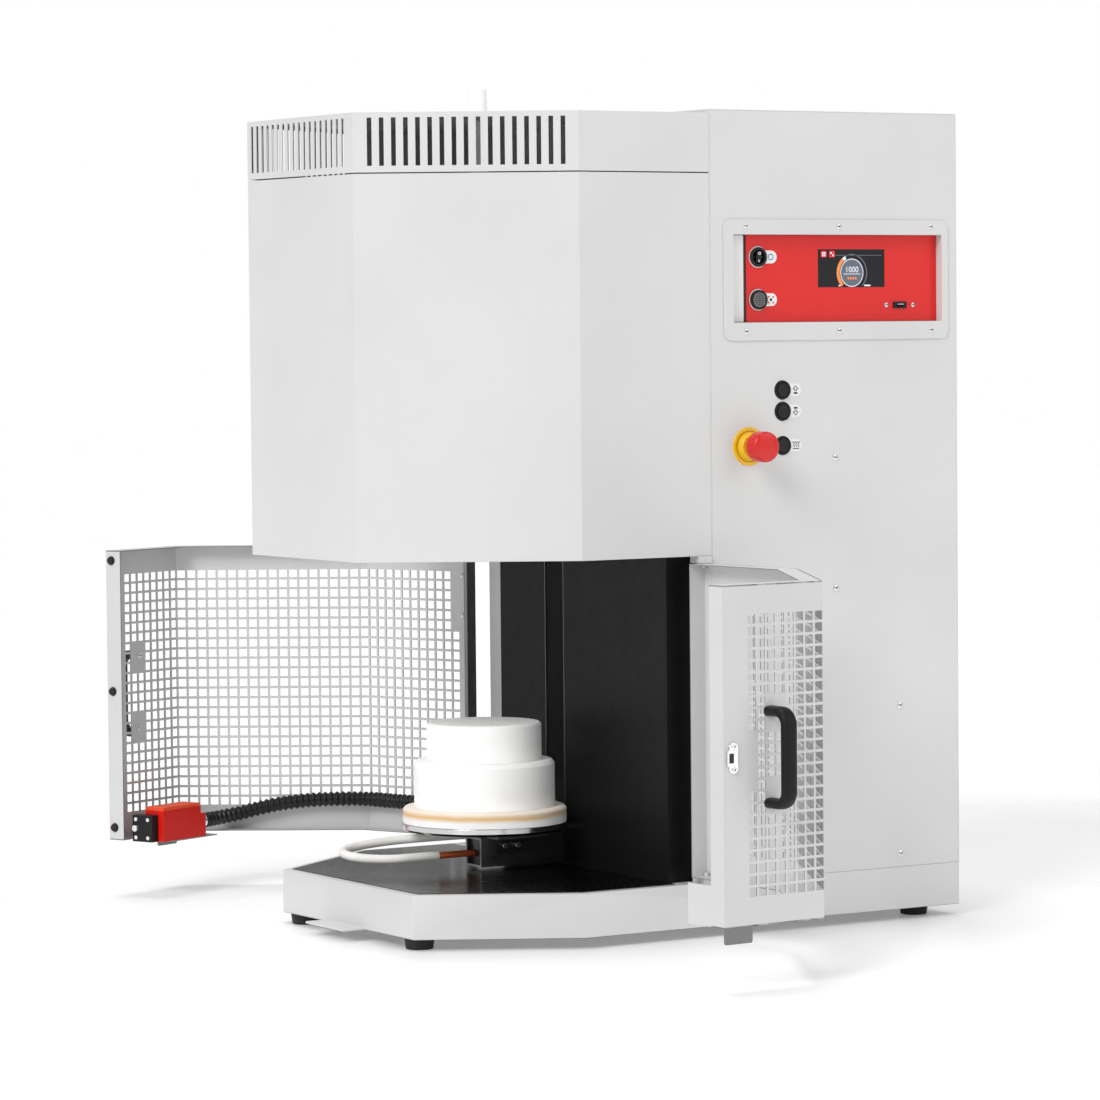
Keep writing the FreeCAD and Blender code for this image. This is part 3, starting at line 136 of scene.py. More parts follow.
def noise(material, scale, detail=2.0, stretch=(1, 1, 1)):
    """A noise texture in object space, with its own stretch along each axis."""
    tree = material.node_tree
    place = tree.nodes.new("ShaderNodeTexCoord")
    shape = tree.nodes.new("ShaderNodeMapping")
    shape.inputs["Scale"].default_value = stretch
    texture = tree.nodes.new("ShaderNodeTexNoise")
    texture.inputs["Scale"].default_value = scale
    texture.inputs["Detail"].default_value = detail
    tree.links.new(place.outputs["Object"], shape.inputs["Vector"])
    tree.links.new(shape.outputs["Vector"], texture.inputs["Vector"])
    return texture


def add_bump(material, texture, strength, distance):
    tree = material.node_tree
    bump = tree.nodes.new("ShaderNodeBump")
    bump.inputs["Strength"].default_value = strength
    bump.inputs["Distance"].default_value = distance
    tree.links.new(texture.outputs[0], bump.inputs["Height"])
    tree.links.new(bump.outputs["Normal"], material.node_tree.nodes["Principled BSDF"].inputs["Normal"])


def add_ramp(material, texture, socket, low, high, start=0.35, end=0.65):
    """Sends a texture through a ramp from one colour or value to another."""
    tree = material.node_tree
    ramp = tree.nodes.new("ShaderNodeValToRGB")
    for stop, place, value in zip(ramp.color_ramp.elements, (start, end), (low, high)):
        stop.position = place
        stop.color = (*value, 1) if hasattr(value, "__len__") else (value, value, value, 1)
    tree.links.new(texture.outputs[0], ramp.inputs["Fac"])
    tree.links.new(ramp.outputs["Color"], tree.nodes["Principled BSDF"].inputs[socket])


def shade(colour, factor):
    return tuple(min(1.0, c * factor) for c in colour)


def painted(name, colour, rough=0.38, coat=0.1):
    """Powder coat: fine orange peel, slow changes of tone and gloss."""
    material = shader(name, colour, rough, coat=coat)
    add_bump(material, noise(material, 620, 3), 0.12, 0.0002)
    add_ramp(material, noise(material, 5, 4), "Base Color", shade(colour, 0.975), shade(colour, 1.02))
    add_ramp(material, noise(material, 60, 3), "Roughness", rough - 0.03, rough + 0.05)
    return material


def moulded(name, colour, rough=0.45, grain=900, depth=0.12):
    """Moulded plastic or rubber with a fine spark-eroded grain."""
    material = shader(name, colour, rough)
    add_bump(material, noise(material, grain, 2), depth, 0.0002)
    add_ramp(material, noise(material, 35, 3), "Roughness", rough - 0.06, rough + 0.08)
    return material


def brushed(name, colour, rough, stretch, depth=0.06):
    """Metal with fine lines along one axis."""
    material = shader(name, colour, rough, metal=1.0)
    lines = noise(material, 90, 4, stretch)
    add_bump(material, lines, depth, 0.0001)
    add_ramp(material, lines, "Roughness", rough - 0.05, rough + 0.08)
    add_ramp(material, noise(material, 7, 3), "Base Color", shade(colour, 0.94), shade(colour, 1.04))
    return material


def pored(name, colour, dark, rough=0.9):
    """Pressed fibre or cast refractory: soft pits and faint stains, and a faint painted glow that lightens
    it.
    """
    material = shader(name, colour, rough)
    add_bump(material, noise(material, 260, 5), 0.45, 0.0006)
    add_ramp(material, noise(material, 22, 5), "Base Color", dark, colour, 0.3, 0.6)
    # A faint glow in the surface's own colour: painted light, since the fibre is no lamp
    surface = material.node_tree.nodes["Principled BSDF"]
    surface.inputs["Emission Color"].default_value = (*colour, 1)
    surface.inputs["Emission Strength"].default_value = 0.06
    return material


def matt(material, level):
    """Less mirror-like shine than plain plastic or paint has."""
    material.node_tree.nodes["Principled BSDF"].inputs["Specular IOR Level"].default_value = level
    return material


WHITE = (0.62, 0.625, 0.62)
paint = painted("light_grey_paint", WHITE)
guard_paint = painted("guard_paint", (0.58, 0.585, 0.58))
bezel_paint = painted("bezel_paint", (0.62, 0.62, 0.615), 0.33)
black_cover = matt(painted("black_cover_paint", (0.005, 0.005, 0.0055), 0.42, 0.0), 0.14)
red_paint = painted("red_paint", (0.66, 0.008, 0.006), 0.34, 0.0)
deck_steel = brushed("dark_polished_steel", (0.085, 0.085, 0.088), 0.2, (1, 12, 1), 0.03)
steel = brushed("machined_steel", (0.52, 0.53, 0.54), 0.28, (1, 1, 10))
dark_steel = brushed("blackened_steel", (0.05, 0.05, 0.052), 0.4, (1, 1, 6))
chrome = brushed("chrome", (0.78, 0.78, 0.79), 0.12, (1, 1, 4), 0.02)
copper = brushed("copper", (0.90, 0.19, 0.055), 0.3, (0.3, 6, 6))
copper.node_tree.nodes["Principled BSDF"].inputs["Metallic"].default_value = 0.2
ring_steel = brushed("polished_ring_steel", (0.62, 0.62, 0.62), 0.14, (1, 1, 30), 0.015)
arm_steel = brushed("dark_arm_steel", (0.13, 0.13, 0.135), 0.36, (0.4, 8, 8))
plastic = matt(moulded("black_plastic", (0.006, 0.006, 0.0065)), 0.3)
handle_plastic = matt(moulded("handle_plastic", (0.005, 0.005, 0.0055), 0.42, 700, 0.2), 0.22)
rubber = matt(moulded("black_rubber", (0.012, 0.012, 0.012), 0.6, 500, 0.25), 0.35)
hose_rubber = matt(moulded("black_hose", (0.004, 0.004, 0.004), 0.36, 500, 0.1), 0.4)
stop_red = moulded("stop_red", (0.60, 0.008, 0.006), 0.3, 700, 0.04)
switch_red = matt(moulded("switch_red", (0.62, 0.009, 0.005), 0.42, 700, 0.1), 0.25)
lid_red = matt(moulded("switch_lid_orange_red", (0.80, 0.08, 0.02), 0.4, 700, 0.1), 0.3)
# Dark grey for the guards' tabs: a grey metal tone darkened as painted shade
tab_shade_grey = painted("tab_painted_shade_grey", (0.17, 0.17, 0.17), 0.4, 0.0)
# Darker grey for the rims of the guards' holes: painted shade along the hole edges
hole_edge_shade = painted("guard_hole_edge_painted_shade", (0.24, 0.24, 0.24), 0.5, 0.0)
# Lighter grey on the black tower cover: painted highlight along the slot's edges
slot_edge_highlight = painted("slot_edge_painted_highlight", (0.16, 0.16, 0.16), 0.4, 0.0)
# Light grey, not metal: painted highlight on the lift arm's end edge
highlight_grey = painted("arm_edge_painted_highlight", (0.55, 0.55, 0.54), 0.35, 0.0)
yellow = moulded("stop_yellow", (0.80, 0.47, 0.008), 0.38, 700, 0.06)
glass = shader("display_glass", (0.004, 0.004, 0.006), 0.12, coat=0.4)
add_ramp(glass, noise(glass, 4, 2), "Roughness", 0.06, 0.11)
label = moulded("label_white", (0.76, 0.76, 0.75), 0.4, 600, 0.04)
ink = moulded("label_black", (0.01, 0.01, 0.011), 0.5, 600, 0.04)
blue_ink = moulded("label_blue", (0.03, 0.10, 0.35), 0.5, 600, 0.04)
red_ink = moulded("label_red", (0.55, 0.01, 0.01), 0.5, 600, 0.04)
mesh_grey = moulded("sounder_mesh_grey", (0.30, 0.30, 0.30), 0.5, 400, 0.3)
FIBRE = (0.94, 0.935, 0.925)
STAINED_FIBRE = (0.89, 0.88, 0.865)
ceramic = pored("white_fibre", FIBRE, STAINED_FIBRE)
sleeve = pored("woven_sleeve", (0.90, 0.885, 0.85), (0.78, 0.76, 0.72), 0.8)
element = pored("oxidised_element", (0.10, 0.09, 0.085), (0.06, 0.055, 0.05), 0.7)
board_green = moulded("board_green", (0.01, 0.12, 0.04), 0.4)


def glowing(name, colour, strength):
    material = shader(name, colour, 0.4)
    surface = material.node_tree.nodes["Principled BSDF"]
    surface.inputs["Emission Color"].default_value = (*colour, 1)
    surface.inputs["Emission Strength"].default_value = strength
    add_ramp(material, noise(material, 300, 2), "Roughness", 0.35, 0.45)
    return material


screen_orange = glowing("screen_orange", (0.85, 0.20, 0.03), 0.45)
screen_white = glowing("screen_white", (0.60, 0.64, 0.70), 0.4)
screen_grey = glowing("screen_grey", (0.10, 0.12, 0.15), 0.15)
screen_red = glowing("screen_red", (0.60, 0.02, 0.02), 0.4)


def fibre_with_band(middle, spread):
    """Refractory with a mottled orange-brown heat line at a height, in metres."""
    material = pored("banded_fibre", FIBRE, STAINED_FIBRE)
    tree = material.node_tree
    surface = tree.nodes["Principled BSDF"]
    plain = surface.inputs["Base Color"].links[0].from_socket
    place = tree.nodes.new("ShaderNodeTexCoord")
    split = tree.nodes.new("ShaderNodeSeparateXYZ")
    tree.links.new(place.outputs["Object"], split.inputs["Vector"])
    wander = noise(material, 14, 4)
    sway = tree.nodes.new("ShaderNodeMapRange")
    sway.inputs["To Min"].default_value = -spread * 0.5
    sway.inputs["To Max"].default_value = spread * 0.5
    tree.links.new(wander.outputs[0], sway.inputs["Value"])
    height = tree.nodes.new("ShaderNodeMath")
    height.operation = "ADD"
    tree.links.new(split.outputs["Z"], height.inputs[0])
    tree.links.new(sway.outputs["Result"], height.inputs[1])
    band = tree.nodes.new("ShaderNodeValToRGB")
    stops = band.color_ramp.elements
    for position, strength in ((0.35, 0.9), (0.55, 0.6)):
        stops.new(position).color = (strength, strength, strength, 1)
    stops[0].color = (0, 0, 0, 1)
    stops[-1].color = (0, 0, 0, 1)
    span = tree.nodes.new("ShaderNodeMapRange")
    span.inputs["From Min"].default_value = middle - spread
    span.inputs["From Max"].default_value = middle + spread
    tree.links.new(height.outputs["Value"], span.inputs["Value"])
    tree.links.new(span.outputs["Result"], band.inputs["Fac"])
    mix = tree.nodes.new("ShaderNodeMix")
    mix.data_type = "RGBA"
    mix.inputs["B"].default_value = (0.74, 0.40, 0.07, 1)
    tree.links.new(band.outputs["Color"], mix.inputs["Factor"])
    tree.links.new(plain, mix.inputs["A"])
    tree.links.new(mix.outputs["Result"], surface.inputs["Base Color"])
    return material


# Mesh helpers
def new_object(name, mesh, material, body):
    """A finished mesh as a piece that rides on a body."""
    piece = bpy.data.objects.new(name, mesh)
    bpy.context.collection.objects.link(piece)
    mesh.materials.clear()
    mesh.materials.append(material)
    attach(piece, body)
    return piece


def from_bmesh(name, shape, material, body, smooth=math.radians(35)):
    mesh = bpy.data.meshes.new(name)
    bmesh.ops.recalc_face_normals(shape, faces=shape.faces)
    shape.to_mesh(mesh)
    shape.free()
    mesh.shade_smooth()
    mesh.set_sharp_from_angle(angle=smooth)
    return new_object(name, mesh, material, body)


def bevel(piece, width, segments=3, angle=35):
    """Rounded edges, in millimetres."""
    modifier = piece.modifiers.new("edges", "BEVEL")
    modifier.width = width * 0.001
    modifier.segments = segments
    modifier.limit_method = "ANGLE"
    modifier.angle_limit = math.radians(angle)
    modifier.harden_normals = True
    return piece


def soften(node, material, width=0.6, segments=3, merge=True):
    """A CAD node shown with rounded edges: a cleaned copy of its mesh stands for it."""
    shape = bmesh.new()
    shape.from_mesh(frame["nodes"][node].data)
    bmesh.ops.remove_doubles(shape, verts=shape.verts, dist=0.00001)
    if merge:
        bmesh.ops.dissolve_limit(shape, angle_limit=math.radians(1), verts=shape.verts, edges=shape.edges)
    piece = from_bmesh(node + "_shown", shape, material, body_of(frame["nodes"][node])[0])
    bevel(piece, width, segments)
    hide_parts(node)
    return piece


def colour(node, material):
    """A CAD node kept as it is, with a better finish."""
    mesh = frame["nodes"][node].data
    for slot in frame["nodes"][node].material_slots:
        slot.material = material
    mesh.shade_smooth()
    mesh.set_sharp_from_angle(angle=math.radians(35))


def lathe(name, profile, centre, direction, material, body, steps=48):
    """A profile of (radius, distance) corners in millimetres turned about a line."""
    shape = bmesh.new()
    line = Vector(direction).normalized()
    side = line.orthogonal().normalized()
    other = line.cross(side)
    rings = []
    for radius, distance in profile:
        if radius < 1e-6:
            rings.append([shape.verts.new(at(*centre) + line * distance * 0.001)])
            continue
        turn = [2 * math.pi * i / steps for i in range(steps)]
        points = [line * distance + (side * math.cos(a) + other * math.sin(a)) * radius for a in turn]
        rings.append([shape.verts.new(at(*centre) + point * 0.001) for point in points])
    for first, second in zip(rings, rings[1:]):
        for i in range(steps):
            j = (i + 1) % steps
            corners = [first[i % len(first)], first[j % len(first)],
                       second[j % len(second)], second[i % len(second)]]
            corners = list(dict.fromkeys(corners))
            if len(corners) > 2:
                shape.faces.new(corners)
    return from_bmesh(name, shape, material, body)


def arc(cx, cz, radius, start, end, steps):
    """Points of an arc in degrees."""
    turn = [math.radians(start + (end - start) * i / steps) for i in range(steps + 1)]
    return [(cx + radius * math.cos(a), cz + radius * math.sin(a)) for a in turn]


def rounded(x0, z0, x1, z1, radius, steps=6):
    """A rectangle with rounded corners."""
    return (arc(x1 - radius, z0 + radius, radius, -90, 0, steps)
            + arc(x1 - radius, z1 - radius, radius, 0, 90, steps)
            + arc(x0 + radius, z1 - radius, radius, 90, 180, steps)
            + arc(x0 + radius, z0 + radius, radius, 180, 270, steps))


def strip(x0, z0, x1, z1):
    return [(x0, z0), (x1, z0), (x1, z1), (x0, z1)]


def flat_shapes(name, outlines, place, thickness, material, body, edge=0.0):
    """Flat shapes that stand out of a surface. place takes two distances along it and one out."""
    shape = bmesh.new()
    for outline in outlines:
        back = [shape.verts.new(place(u, v, 0)) for u, v in outline]
        front = [shape.verts.new(place(u, v, thickness)) for u, v in outline]
        shape.faces.new(back)
        shape.faces.new(front)
        for i in range(len(back)):
            j = (i + 1) % len(back)
            shape.faces.new((back[i], back[j], front[j], front[i]))
    piece = from_bmesh(name, shape, material, body)
    if edge:
        bevel(piece, edge, 2)
    return piece


def front_plate(name, outlines, y, thickness, material, body="furnace", edge=0.0):
    """Flat shapes that stand out of a surface facing the front. y is the surface they lie on."""

    def place(u, v, out):
        return at(u, y - out, v)

    return flat_shapes(name, outlines, place, thickness, material, body, edge)


def tint(piece, material, test):
    """A second material for the faces whose middle passes a test."""
    piece.data.materials.append(material)
    for face in piece.data.polygons:
        if test(face.center):
            face.material_index = len(piece.data.materials) - 1


# Cords: each follows its route on one smooth curve
def route_curve(name, points, radius, body, material):
    data = bpy.data.curves.new(name, "CURVE")
    data.dimensions = "3D"
    spline = data.splines.new("NURBS")
    spline.points.add(len(points) - 1)
    for control, point in zip(spline.points, points):
        control.co = (*at(*point), 1)
    spline.order_u = 3
    spline.use_endpoint_u = True
    spline.resolution_u = 16
    data.bevel_depth = radius * 0.001
    data.bevel_resolution = 6
    data.use_fill_caps = True
    data.materials.append(material)
    piece = bpy.data.objects.new(name, data)
    bpy.context.collection.objects.link(piece)
    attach(piece, body)
    return piece


loop_start = Vector((-35, 319, 95))
loop_steps = [(0, 0, 0), (-38, 0, 0), (-68, 5, -1), (-99, 27, 0), (-112, 66, 3), (-89, 99, 6), (-48, 103, 10),
              (-12, 89, 14), (16, 68, 17), (44, 44, 20), (73, 17, 23)]
loop_points = [tuple(loop_start + Vector(step)) for step in loop_steps]
hearth_cable = route_curve("hearth_cable_sleeve", loop_points, 6.0, "hearth", sleeve)
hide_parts("hearth_cable")


def opened(x, y, z, rear):
    """A point of a closed guard, drawn on the front one, turned open."""
    px = GUARD_X - PIVOT_INSET
    py = PIVOT_INSET - GUARD_PROUD
    angle = REAR_OPEN if rear else FRONT_OPEN
    if rear:
        py = DEPTH - py
        y = DEPTH - y
    dx, dy = x - px, y - py
    c, s = math.cos(angle), math.sin(angle)
    return (px + dx * c - dy * s, py + dx * s + dy * c, z)


WALL_X = GUARD_X - GUARD_FRONT - GUARD_SLANT * math.cos(GUARD_ANGLE)
FOLD_Y = GUARD_SLANT * math.sin(GUARD_ANGLE) - GUARD_PROUD
EDGE_Y = DEPTH / 2 - 2
SWITCH_X = WALL_X + 36
SWITCH_Y = EDGE_Y - 8
SWITCH_Z = 80.0
CLIP_X = 160.0
conduit_start = Vector((SWITCH_X + 29, SWITCH_Y - 119, SWITCH_Z + 20))
conduit_steps = [(0, 0, 0), (0, -20, 0), (4.96, -39.4, 1.4), (14.6, -56.9, 4.2), (28.2, -71.5, 8.4),
                 (55.2, -88.8, 16.4), (92.2, -112.5, 23.4), (132.7, -138.3, 25.9), (172.8, -164, 25.9),
                 (222.8, -164, 25), (275, -164.3, 24.5)]
conduit_points = [tuple(conduit_start + Vector(step)) for step in conduit_steps]
conduit_points.append((CLIP_X, conduit_points[-1][1], conduit_points[-1][2]))
conduit_points = [opened(*point, True) for point in conduit_points]
guide = route_curve("conduit_route", conduit_points, 0.0, "rear_guard", rubber)
guide.data.resolution_u = 40
line_mesh = bpy.data.meshes.new_from_object(guide)
line = [vertex.co.copy() for vertex in line_mesh.vertices]
bpy.data.objects.remove(guide)


def corrugated(name, line, low, high, pitch, material, body):
    """A hose whose rings follow a line of points in metres. Sizes in millimetres."""
    sides = 20
    waves = 6
    steps = [0.0]
    for a, b in zip(line, line[1:]):
        steps.append(steps[-1] + (b - a).length * 1000)
    total = steps[-1]
    count = int(total / pitch) * waves
    shape = bmesh.new()
    rings = []
    index = 0
    side = None
    for i in range(count + 1):
        distance = total * i / count
        while index < len(line) - 2 and steps[index + 1] < distance:
            index += 1
        span = steps[index + 1] - steps[index]
        part = (distance - steps[index]) / span if span else 0
        centre = line[index].lerp(line[index + 1], part)
        ahead = (line[index + 1] - line[index]).normalized()
        if side is None:
            side = ahead.orthogonal().normalized()
        else:
            side = (side - ahead * side.dot(ahead)).normalized()
        other = ahead.cross(side)
        wave = 0.5 + 0.5 * math.cos(2 * math.pi * i / waves)
        radius = (low + (high - low) * wave) * 0.001
        rings.append([shape.verts.new(centre + (side * math.cos(a) + other * math.sin(a)) * radius)
                      for a in [2 * math.pi * k / sides for k in range(sides)]])
    for first, second in zip(rings, rings[1:]):
        for k in range(sides):
            after = (k + 1) % sides
            shape.faces.new((first[k], first[after], second[after], second[k]))
    shape.faces.new(rings[0])
    shape.faces.new(rings[-1])
    return from_bmesh(name, shape, material, body, math.radians(80))


conduit = corrugated("conduit_hose", line, 8.3, 11.0, 8.4, hose_rubber, "rear_guard")
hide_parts("interlock_conduit")


# Guards: a perforated sheet bent at its folds, with lips all round
def face_towards(shape, points, direction):
    """A face through the points that looks along the direction."""
    face = shape.faces.new([shape.verts.new(point) for point in points])
    face.normal_update()
    if face.normal.dot(direction) < 0:
        face.normal_flip()


def guard_sheet(name, rear, body):
    """The whole folded sheet at the mesh's true pitch. Distances run from the hinge corner."""
    plan = [(GUARD_X, GUARD_LIP - GUARD_PROUD), (GUARD_X, -GUARD_PROUD),
            (GUARD_X - GUARD_FRONT, -GUARD_PROUD), (WALL_X, FOLD_Y),
            (WALL_X, EDGE_Y), (WALL_X + GUARD_LIP, EDGE_Y)]
    wall_start = GUARD_FRONT + GUARD_SLANT
    wall_end = wall_start + EDGE_Y - FOLD_Y
    folds = [-GUARD_LIP, 0.0, GUARD_FRONT, wall_start, wall_end, wall_end + GUARD_LIP]
    columns = [MESH_START + MESH_WIDE_PITCH * i for i in range(MESH_COLUMNS)]
    rows = [MESH_LOW + MESH_PITCH * i for i in range(MESH_ROWS)]
    handle_at = wall_start + (89 if rear else 74)
    blanks = [(handle_at - 15, handle_at + 15, 213, 260), (handle_at - 15, handle_at + 15, 315, 363)]
    if rear:
        blanks.append((27, 41, 378, 486))
    else:
        blanks += [(27, 41, 440, 470), (handle_at + 29, handle_at + 46, 252, 322)]

    def spot(s, z):
        last = len(folds) - 2
        for i in range(last + 1):
            if s <= folds[i + 1] + 1e-6 or i == last:
                part = (s - folds[i]) / (folds[i + 1] - folds[i])
                x = plan[i][0] + (plan[i + 1][0] - plan[i][0]) * part
                y = plan[i][1] + (plan[i + 1][1] - plan[i][1]) * part
                return at(*opened(x, y, z, rear))

    column_edges = [round(v, 4) for c in columns for v in (c, c + MESH_WIDE_HOLE)]
    row_edges = [round(v, 4) for r in rows for v in (r, r + MESH_HOLE)]
    across = sorted(set([round(v, 4) for v in folds] + column_edges))
    upward = sorted(set([GUARD_LOW, GUARD_HIGH] + row_edges))
    floors = {round(r, 4) for r in rows}
    shape = bmesh.new()
    grid = {}
    for i, s in enumerate(across):
        for j, z in enumerate(upward):
            grid[i, j] = shape.verts.new(spot(s, z))
    for i in range(len(across) - 1):
        for j in range(len(upward) - 1):
            centre_s = (across[i] + across[i + 1]) / 2
            centre_z = (upward[j] + upward[j + 1]) / 2
            blank = any(a < centre_s < b and c < centre_z < d for a, b, c, d in blanks)
            holed = any(c < centre_s < c + MESH_WIDE_HOLE for c in columns)
            if holed and upward[j] in floors and not blank:
                continue
            corners = [grid[i, j], grid[i + 1, j], grid[i + 1, j + 1], grid[i, j + 1]]
            shape.faces.new(corners if rear else corners[::-1])
    inset = [(WALL_X + GUARD_LIP, EDGE_Y),
             (WALL_X + GUARD_LIP, FOLD_Y + GUARD_LIP * math.tan(math.pi / 4 - GUARD_ANGLE / 2)),
             (GUARD_X - GUARD_FRONT + GUARD_LIP * math.tan(GUARD_ANGLE / 2), GUARD_LIP - GUARD_PROUD),
             (GUARD_X - SKIN, GUARD_LIP - GUARD_PROUD)]
    outer = [(WALL_X, EDGE_Y), (WALL_X, FOLD_Y),
             (GUARD_X - GUARD_FRONT, -GUARD_PROUD), (GUARD_X, -GUARD_PROUD)]
    for z, upside in ((GUARD_HIGH, True), (GUARD_LOW, False)):
        out = [shape.verts.new(at(*opened(x, y, z, rear))) for x, y in outer]
        inn = [shape.verts.new(at(*opened(x, y, z, rear))) for x, y in inset]
        for i in range(3):
            face = shape.faces.new((out[i], out[i + 1], inn[i + 1], inn[i]))
            face.normal_update()
            if (face.normal.z > 0) != upside:
                face.normal_flip()
    if rear:
        shelf = strip(WALL_X, FOLD_Y + 12, WALL_X + 82, FOLD_Y + 112)
        face_towards(shape, [at(*opened(x, y, SWITCH_Z, rear)) for x, y in shelf], Vector((0, 0, 1)))
    else:
        gusset = strip(WALL_X + GUARD_LIP, GUARD_LOW, WALL_X + 72, GUARD_LOW + 50)
        outward = at(*opened(WALL_X, EDGE_Y, 0, rear)) - at(*opened(WALL_X, FOLD_Y, 0, rear))
        face_towards(shape, [at(*opened(x, EDGE_Y, z, rear)) for x, z in gusset], outward)
    mesh = bpy.data.meshes.new(name)
    shape.to_mesh(mesh)
    shape.free()
    piece = new_object(name, mesh, guard_paint, body)
    # The sheet's rims, round every hole too, take the darker grey: painted shade on the hole edges
    mesh.materials.append(hole_edge_shade)
    thick = piece.modifiers.new("sheet", "SOLIDIFY")
    thick.thickness = SKIN * 0.001
    thick.offset = -1
    thick.material_offset_rim = 1
    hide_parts(body)
    return piece


guard_sheet("front_guard_mesh", False, "front_guard")
guard_sheet("rear_guard_mesh", True, "rear_guard")


def bridge_handle(name, rear, body):
    """A moulded grip with round corners, swept along a U that stands out of the guard's side wall."""
    low, high, reach, corner = 229.0, 341.0, 35.5, 16.0
    half_thick, half_wide, squareness, sides = 6.5, 10.5, 0.75, 24
    middle_y = FOLD_Y + 82
    route = [(0, low)] + arc(reach - corner, low + corner, corner, -90, 0, 8)
    route += arc(reach - corner, high - corner, corner, 0, 90, 8) + [(0, high)]
    shape = bmesh.new()
    rings = []
    for i, (out, z) in enumerate(route):
        before, after = route[max(i - 1, 0)], route[min(i + 1, len(route) - 1)]
        ahead = Vector((after[0] - before[0], after[1] - before[1])).normalized()
        ring = []
        for k in range(sides):
            turn = 2 * math.pi * k / sides
            thick = half_thick * math.copysign(abs(math.cos(turn)) ** squareness, math.cos(turn))
            wide = half_wide * math.copysign(abs(math.sin(turn)) ** squareness, math.sin(turn))
            place = (WALL_X - out + ahead.y * thick, middle_y + wide, z + ahead.x * thick)
            ring.append(shape.verts.new(at(*opened(*place, rear))))
        rings.append(ring)
    for first, second in zip(rings, rings[1:]):
        for k in range(sides):
            after = (k + 1) % sides
            shape.faces.new((first[k], first[after], second[after], second[k]))
    shape.faces.new(rings[0])
    shape.faces.new(rings[-1])
    piece = from_bmesh(name, shape, handle_plastic, body, math.radians(50))
    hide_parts(name)
    return piece


bridge_handle("front_handle", False, "front_guard")
bridge_handle("rear_handle", True, "rear_guard")


# Small guard fittings, drawn on the closed guard and turned open with it
def out_of_wall(rear):
    return lambda u, v, out: at(*opened(WALL_X - out, u, v, rear))


def into_wall(u, v, out):
    return at(*opened(WALL_X + SKIN + out, u, v, True))


def into_front(u, v, out):
    return at(*opened(u, SKIN - GUARD_PROUD + out, v, True))


def round_screw(name, place, u, v, radius, height, material, body):
    """A domed screw head with a black cross, painted shade in its recess, on any of the surfaces above."""
    for part, share, rise in (("_rim", 1.0, 0.6), ("_dome", 0.8, 1.0)):
        outline = arc(u, v, radius * share, 0, 345, 23)
        flat_shapes(name + part, [outline], place, height * rise, material, body, 0.4)
    bar = radius * 0.5
    arms = [strip(u - bar, v - 0.45, u + bar, v + 0.45), strip(u - 0.45, v - bar, u + 0.45, v + bar)]
    # Black cross: painted shade in the screw's recess
    flat_shapes(name + "_cross_shade", arms, place, height + 0.1, ink, body)


TAB_WIDTH = 43
TAB_DROP = 20
# The tabs under both guards, in the dark grey of painted shade
for body, rear, start in (("front_guard", False, EDGE_Y - TAB_WIDTH), ("rear_guard", True, FOLD_Y + 6)):
    outline = rounded(start, GUARD_LOW - TAB_DROP, start + TAB_WIDTH, GUARD_LOW - 0.1, 3)
    flat_shapes(f"{body}_tab", [outline], out_of_wall(rear), -SKIN, tab_shade_grey, body)
for i, (u, v) in enumerate(((230, 341), (232, 236))):
    round_screw(f"handle_screw_{i}", into_wall, u, v, 4.6, 2.2, chrome, "rear_guard")
for i, v in enumerate((454, 397)):
    round_screw(f"seal_screw_{i}", into_front, 171.5, v, 3.0, 3.0, chrome, "rear_guard")
# A thin black strip down the rear guard's hinge lip, where the lip looks near black
flat_shapes("hinge_lip_black_strip", [strip(-5.8, 85, 14.0, 492)],
            lambda u, v, out: at(*opened(GUARD_X + out, u, v, True)), 0.4, rubber, "rear_guard")

# Lighter grey strips down both sides of the tower's slot: painted highlight on the slot's edges
TOWER_X = 147
slot_edge_highlights = [strip(283.6, 142, 285, 503), strip(331, 142, 332.2, 503)]
flat_shapes("slot_edge_highlights", slot_edge_highlights, lambda u, v, out: at(TOWER_X - out, u, v), 0.4, slot_edge_highlight, "furnace")

# Clip that holds the conduit, and the interlock's keeper on the front guard
flat_shapes("conduit_clip", [rounded(-4.4, 110, 16, 140, 2)],
            lambda u, v, out: at(*opened(CLIP_X + out, u, v, True)), 8, guard_paint, "rear_guard", 0.6)
keeper_y = FOLD_Y + 140
keeper_outline = rounded(keeper_y - 7, 268, keeper_y + 7, 306, 6.4)
step_outline = rounded(keeper_y - 4.5, 277, keeper_y + 10.5, 297, 2)
on_wall = out_of_wall(False)
keeper = flat_shapes("keeper_plate", [keeper_outline], on_wall, 2.2, chrome, "front_guard", 0.8)
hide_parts("front_keeper")
flat_shapes("keeper_step", [step_outline], on_wall, 3.4, chrome, "front_guard", 0.8)
# Black inside the keeper's slot: painted shade in the slot's recess
flat_shapes("keeper_slot_shade", [strip(keeper_y + 1, 281, keeper_y + 8, 293)], on_wall, 3.5, ink, "front_guard")
for i, v in enumerate((273, 301)):
    round_screw(f"keeper_screw_{i}", on_wall, keeper_y, v, 3.4, 4.2, chrome, "front_guard")

